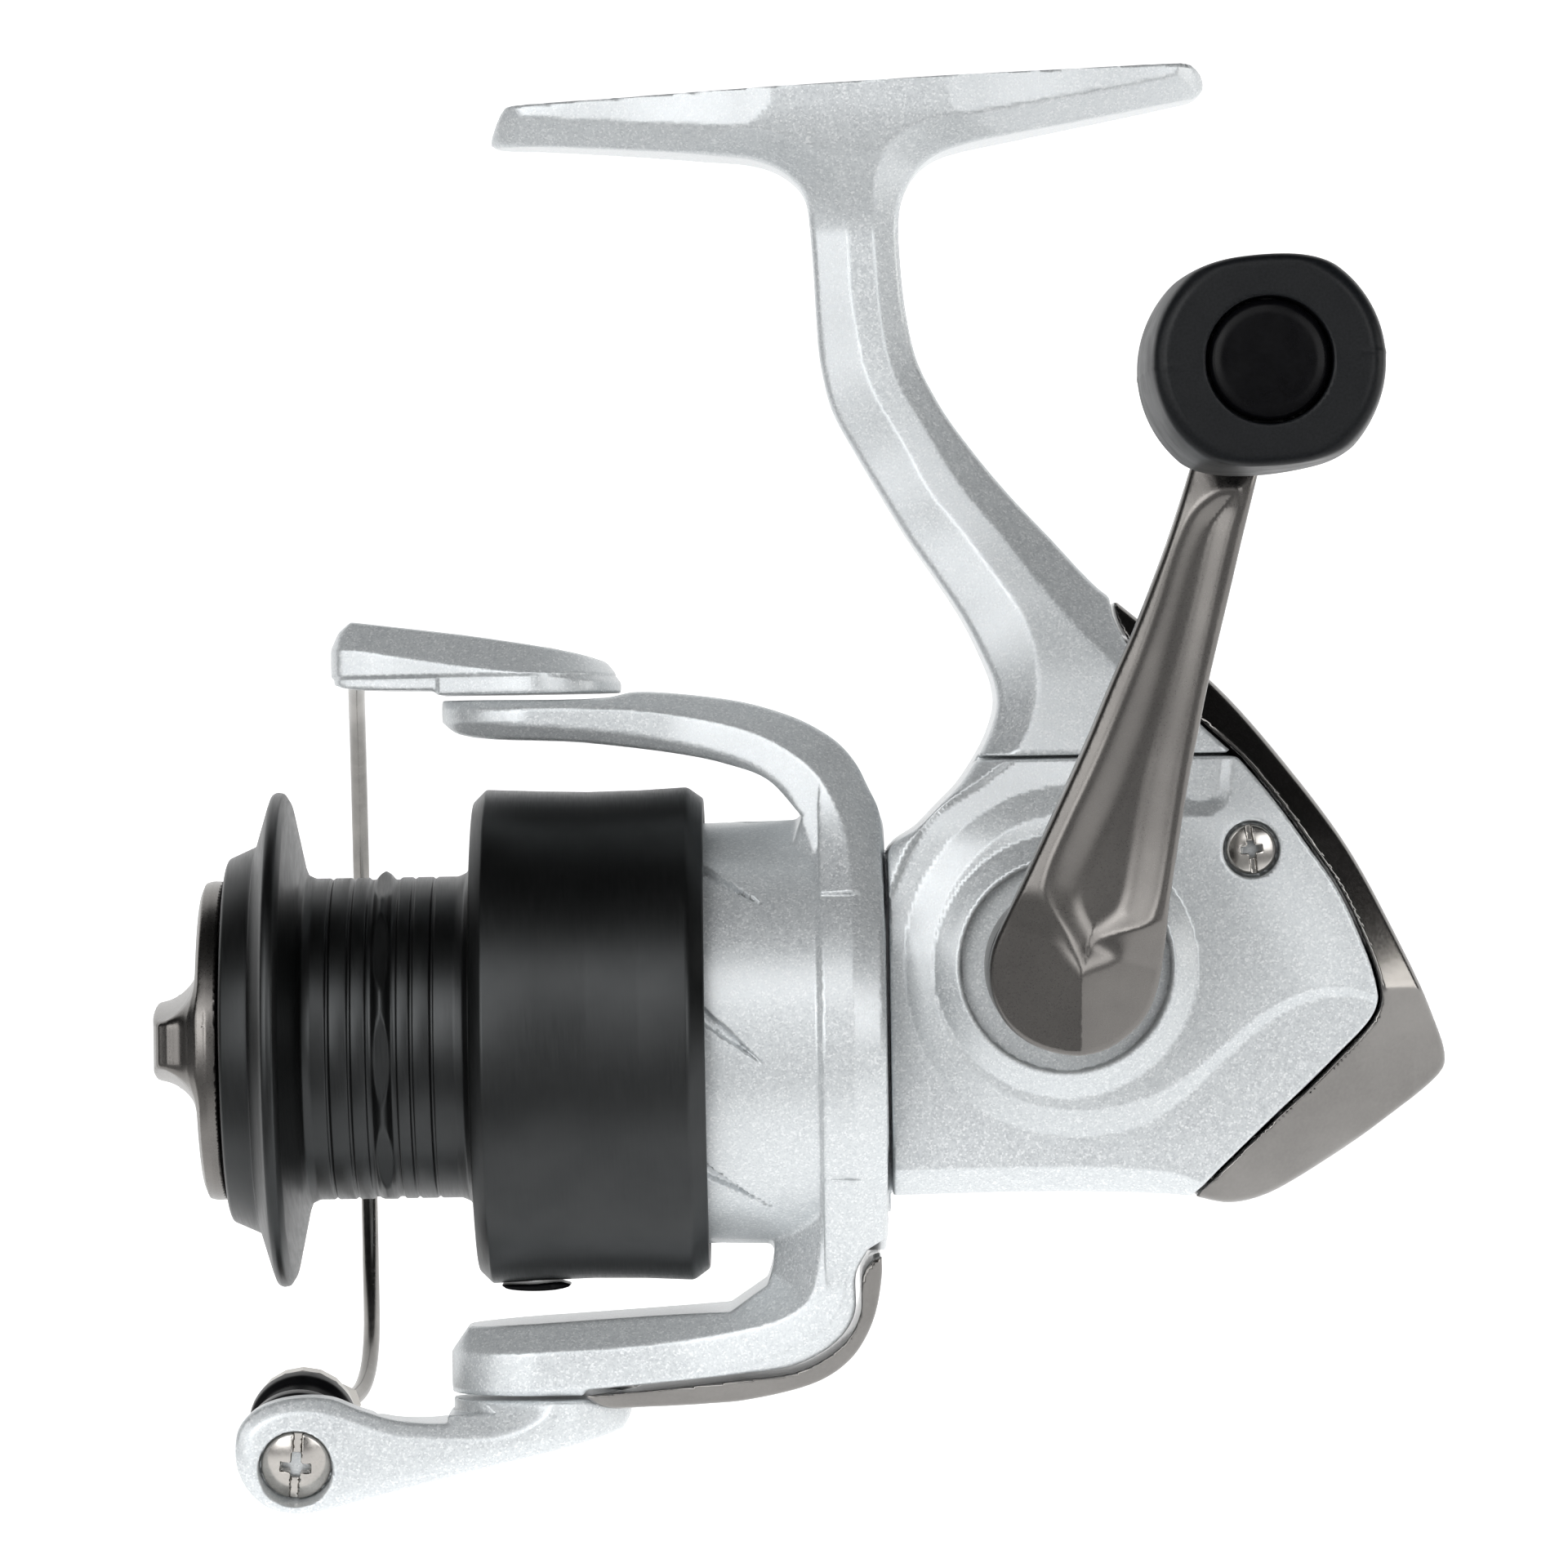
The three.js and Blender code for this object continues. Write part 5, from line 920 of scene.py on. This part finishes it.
def ring_flats(h, r, a):
    """Nine flats ground on the peaked centre ring, each an eye-shaped facet."""
    k = 2 * math.pi / 9
    b = np.mod(a + math.radians(14) + k / 2, k) - k / 2
    flat = 15.0 / np.cos(b)
    on = (h > -47.3) & (h < -45.2) & (r > 14.9)
    return np.where(on, np.minimum(r, flat), r)


lathe("spool_body", spool_pts, "x", (0, 0, 0), 252, "spool_group", "graphite_anodised", ("spool",), r=0.16, shape=ring_flats, closed=True, n=2)
CLIP = Prof([[-36.0, -23.15], [-35.6, -23.45], [-34.0, -23.7], [-31.5, -23.7], [-29.8, -23.45], [-29.5, -23.2], [-30.4, -22.95], [-33, -23.1], [-35.4, -23.1]], sharp=70, step=0.1, pad=1.5)


def clip_field(x, y, z):
    return rmax(CLIP(x, z), np.abs(y) - 2.6 + 0.9 * ss(-31.5, -29.5, x), 0.25)


field_piece("spool_line_clip", clip_field, (-36.6, -3, -24.6), (-29, 3, -22.6), 0.16, "spool_group", "black_gloss", ("line_clip",))

# ---------------------------------------------------------------- drag knob
BELL = Prof([[-63.35, -4], [-63.35, 13.9], [-63.0, 14.75], [-62.3, 15.0], [-61.35, 14.9], [-61.3, 10.2], [-58.7, 10.0], [-58.7, 8.7], [-60.6, 8.7], [-61.8, 7.6], [-61.8, -4]], sharp=55, step=0.15)
WING_MID = table([(-68.6, 3.4), (-68.0, 3.6), (-66.0, 3.75), (-64.5, 3.9), (-60, 4.2)])
NOSE = Prof([[-67.75, -2], [-67.7, 5.0], [-67.5, 9.0], [-67.2, 11.0], [-66.7, 12.1], [-65.9, 12.35], [-65.0, 12.0], [-63.6, 11.9], [-58, 11.9], [-58, -2]], sharp=60, step=0.15)


def drag_field(x, y, z):
    r = np.sqrt(y * y + z * z)
    ay = np.abs(y)
    mid = WING_MID(x)
    t = 1.95 + (mid - 1.95) * (1 - np.clip(ay / 12.0, 0, 1) ** 1.6)
    wing = rmax(np.abs(z) - t, NOSE(x, ay), 0.3)
    f = rmin(BELL(x, r), wing, 4.4)
    # the flare of the bar runs out at the rim of the base
    f = rmax(f, r - 15.0, 0.35)
    f = np.maximum(f, np.where(x > -62.6, BELL(x, r), -9))
    f = np.maximum(f, -np.maximum(r - 4.5, slab(x, -65.6, -60)))
    f = np.maximum(f, -np.maximum(r - 6.6, slab(x, -62.2, -60)))
    f = np.maximum(f, -np.maximum(r - 8.65, slab(x, -60.6, -50)))
    return f


field_piece("drag_knob_body", drag_field, (-68.8, -15.6, -15.6), (-58.3, 15.6, 15.6), 0.26, "drag", "gunmetal_satin", ("drag_knob",))
lathe("dust_cap_body", [[12.4, 0], [12.4, 4.8], [15.5, 4.8], [15.5, 8.0], [15.8, 8.2], [16.5, 7.9], [16.7, 6.9], [16.75, 6.3], [17.15, 6.0], [17.3, 5.2], [17.2, 2.0], [17.15, 0]], "y", (CRANK_X, 0, CRANK_Z), 96, "housing", "gunmetal_satin", ("dust_cap",), r=0.2)


# ---------------------------------------------------------------- floor, light, camera
def stage_sheet():
    """A plain pale floor that curves up into a plain backdrop."""
    z0 = -0.1312
    prof = [(-2.6, z0), (0.9, z0)] + [(0.9 + 0.6 * math.sin(t), z0 + 0.6 * (1 - math.cos(t))) for t in np.linspace(0.1, math.pi / 2, 14)] + [(1.5, z0 + 3.2)]
    V, faces = [], []
    for y, z in prof:
        V += [(-4.0, y, z), (4.0, y, z)]
    for i in range(len(prof) - 1):
        faces.append((2 * i, 2 * i + 1, 2 * i + 3, 2 * i + 2))
    me = bpy.data.meshes.new("studio_floor")
    me.from_pydata(V, [], faces)
    me.polygons.foreach_set("use_smooth", np.ones(len(faces), bool))
    ob = bpy.data.objects.new("studio_floor", me)
    bpy.context.scene.collection.objects.link(ob)
    n = Nodes("studio_floor")
    c = n.ramp(n.noise(60, 2), [(0.3, (0.53, 0.53, 0.53)), (0.7, (0.55, 0.55, 0.55))])
    sep = n.add("ShaderNodeSeparateXYZ")
    n.link(n.co, sep.inputs[0])
    near = n.add("ShaderNodeMath", operation="MULTIPLY_ADD")
    side = n.add("ShaderNodeMath", operation="MINIMUM")
    side.inputs[1].default_value = 0.072
    n.link(sep.outputs[0], side.inputs[0])
    n.link(side.outputs[0], near.inputs[0])
    near.inputs[1].default_value = 0.5
    n.link(sep.outputs[1], near.inputs[2])
    n.link(n.span(near.outputs[0], 0.0, 0.96, -0.098, -0.072), n.p.inputs["Emission Strength"])
    ob.data.materials.append(n.done(c, 0.7, None, Metallic=0.0, Specular_IOR_Level=0.2, Emission_Color=(1, 1, 1, 1)))


stage_sheet()
w = bpy.data.worlds.new("studio")
bpy.context.scene.world = w
w.use_nodes = True
wn = w.node_tree.nodes
bg = next(n for n in wn if n.type == "BACKGROUND")
tc = wn.new("ShaderNodeTexCoord")
sep = wn.new("ShaderNodeSeparateXYZ")
ramp = wn.new("ShaderNodeValToRGB")
mr = wn.new("ShaderNodeMapRange")
mr.inputs["From Min"].default_value = -1.0
w.node_tree.links.new(tc.outputs["Generated"], sep.inputs[0])
w.node_tree.links.new(sep.outputs[2], mr.inputs["Value"])
w.node_tree.links.new(mr.outputs[0], ramp.inputs[0])
w.node_tree.links.new(ramp.outputs[0], bg.inputs["Color"])
els = ramp.color_ramp.elements
for pos, v in ((0.0, 0.50), (0.40, 0.40), (0.50, 0.26), (0.60, 0.10), (0.78, 0.04), (1.0, 0.03)):
    e = els.new(pos) if pos not in (0.0, 1.0) else (els[0] if pos == 0.0 else els[-1])
    e.color = (v, v * 1.005, v * 1.01, 1)
bg.inputs["Strength"].default_value = 0.42


def softbox(name, loc, target, size, power, color=(1, 1, 1)):
    l = bpy.data.lights.new(name, "AREA")
    l.shape = "RECTANGLE"
    l.size, l.size_y = size
    l.energy = power
    l.color = color
    ob = bpy.data.objects.new(name, l)
    ob.location = loc
    ob.rotation_euler = (Vector(target) - Vector(loc)).to_track_quat("-Z", "Y").to_euler()
    bpy.context.scene.collection.objects.link(ob)


MID = (-0.008, 0.0, -0.065)
softbox("softbox_left", (-0.77, -0.57, 0.0), MID, (0.38, 0.85), 2.4)
softbox("softbox_high", (-0.25, -0.92, 0.44), MID, (0.9, 0.45), 2.6)
softbox("softbox_front", (-0.42, -0.95, 0.03), MID, (0.45, 0.6), 2.9)
softbox("softbox_front_right", (0.50, -0.92, 0.10), MID, (0.5, 0.5), 2.2)
softbox("softbox_right", (0.95, -0.16, -0.12), MID, (0.4, 0.5), 2.0, (1.0, 0.98, 0.95))

cam = bpy.data.cameras.new("camera")
cam.sensor_width = 36.0
cam.lens = 171.9
cam.clip_start, cam.clip_end = 0.05, 20.0
co = bpy.data.objects.new("camera", cam)
bpy.context.scene.collection.objects.link(co)
c_, s_ = math.cos(math.radians(3.65)), math.sin(math.radians(3.65))
co.matrix_world = Matrix(((c_, s_, 0, -0.010757), (0, 0, -1, -0.700), (-s_, c_, 0, -0.064508), (0, 0, 0, 1)))
bpy.context.scene.camera = co
bpy.context.scene.view_settings.view_transform = "Standard"
bpy.context.scene.view_settings.look = "None"

bpy.context.view_layer.update()
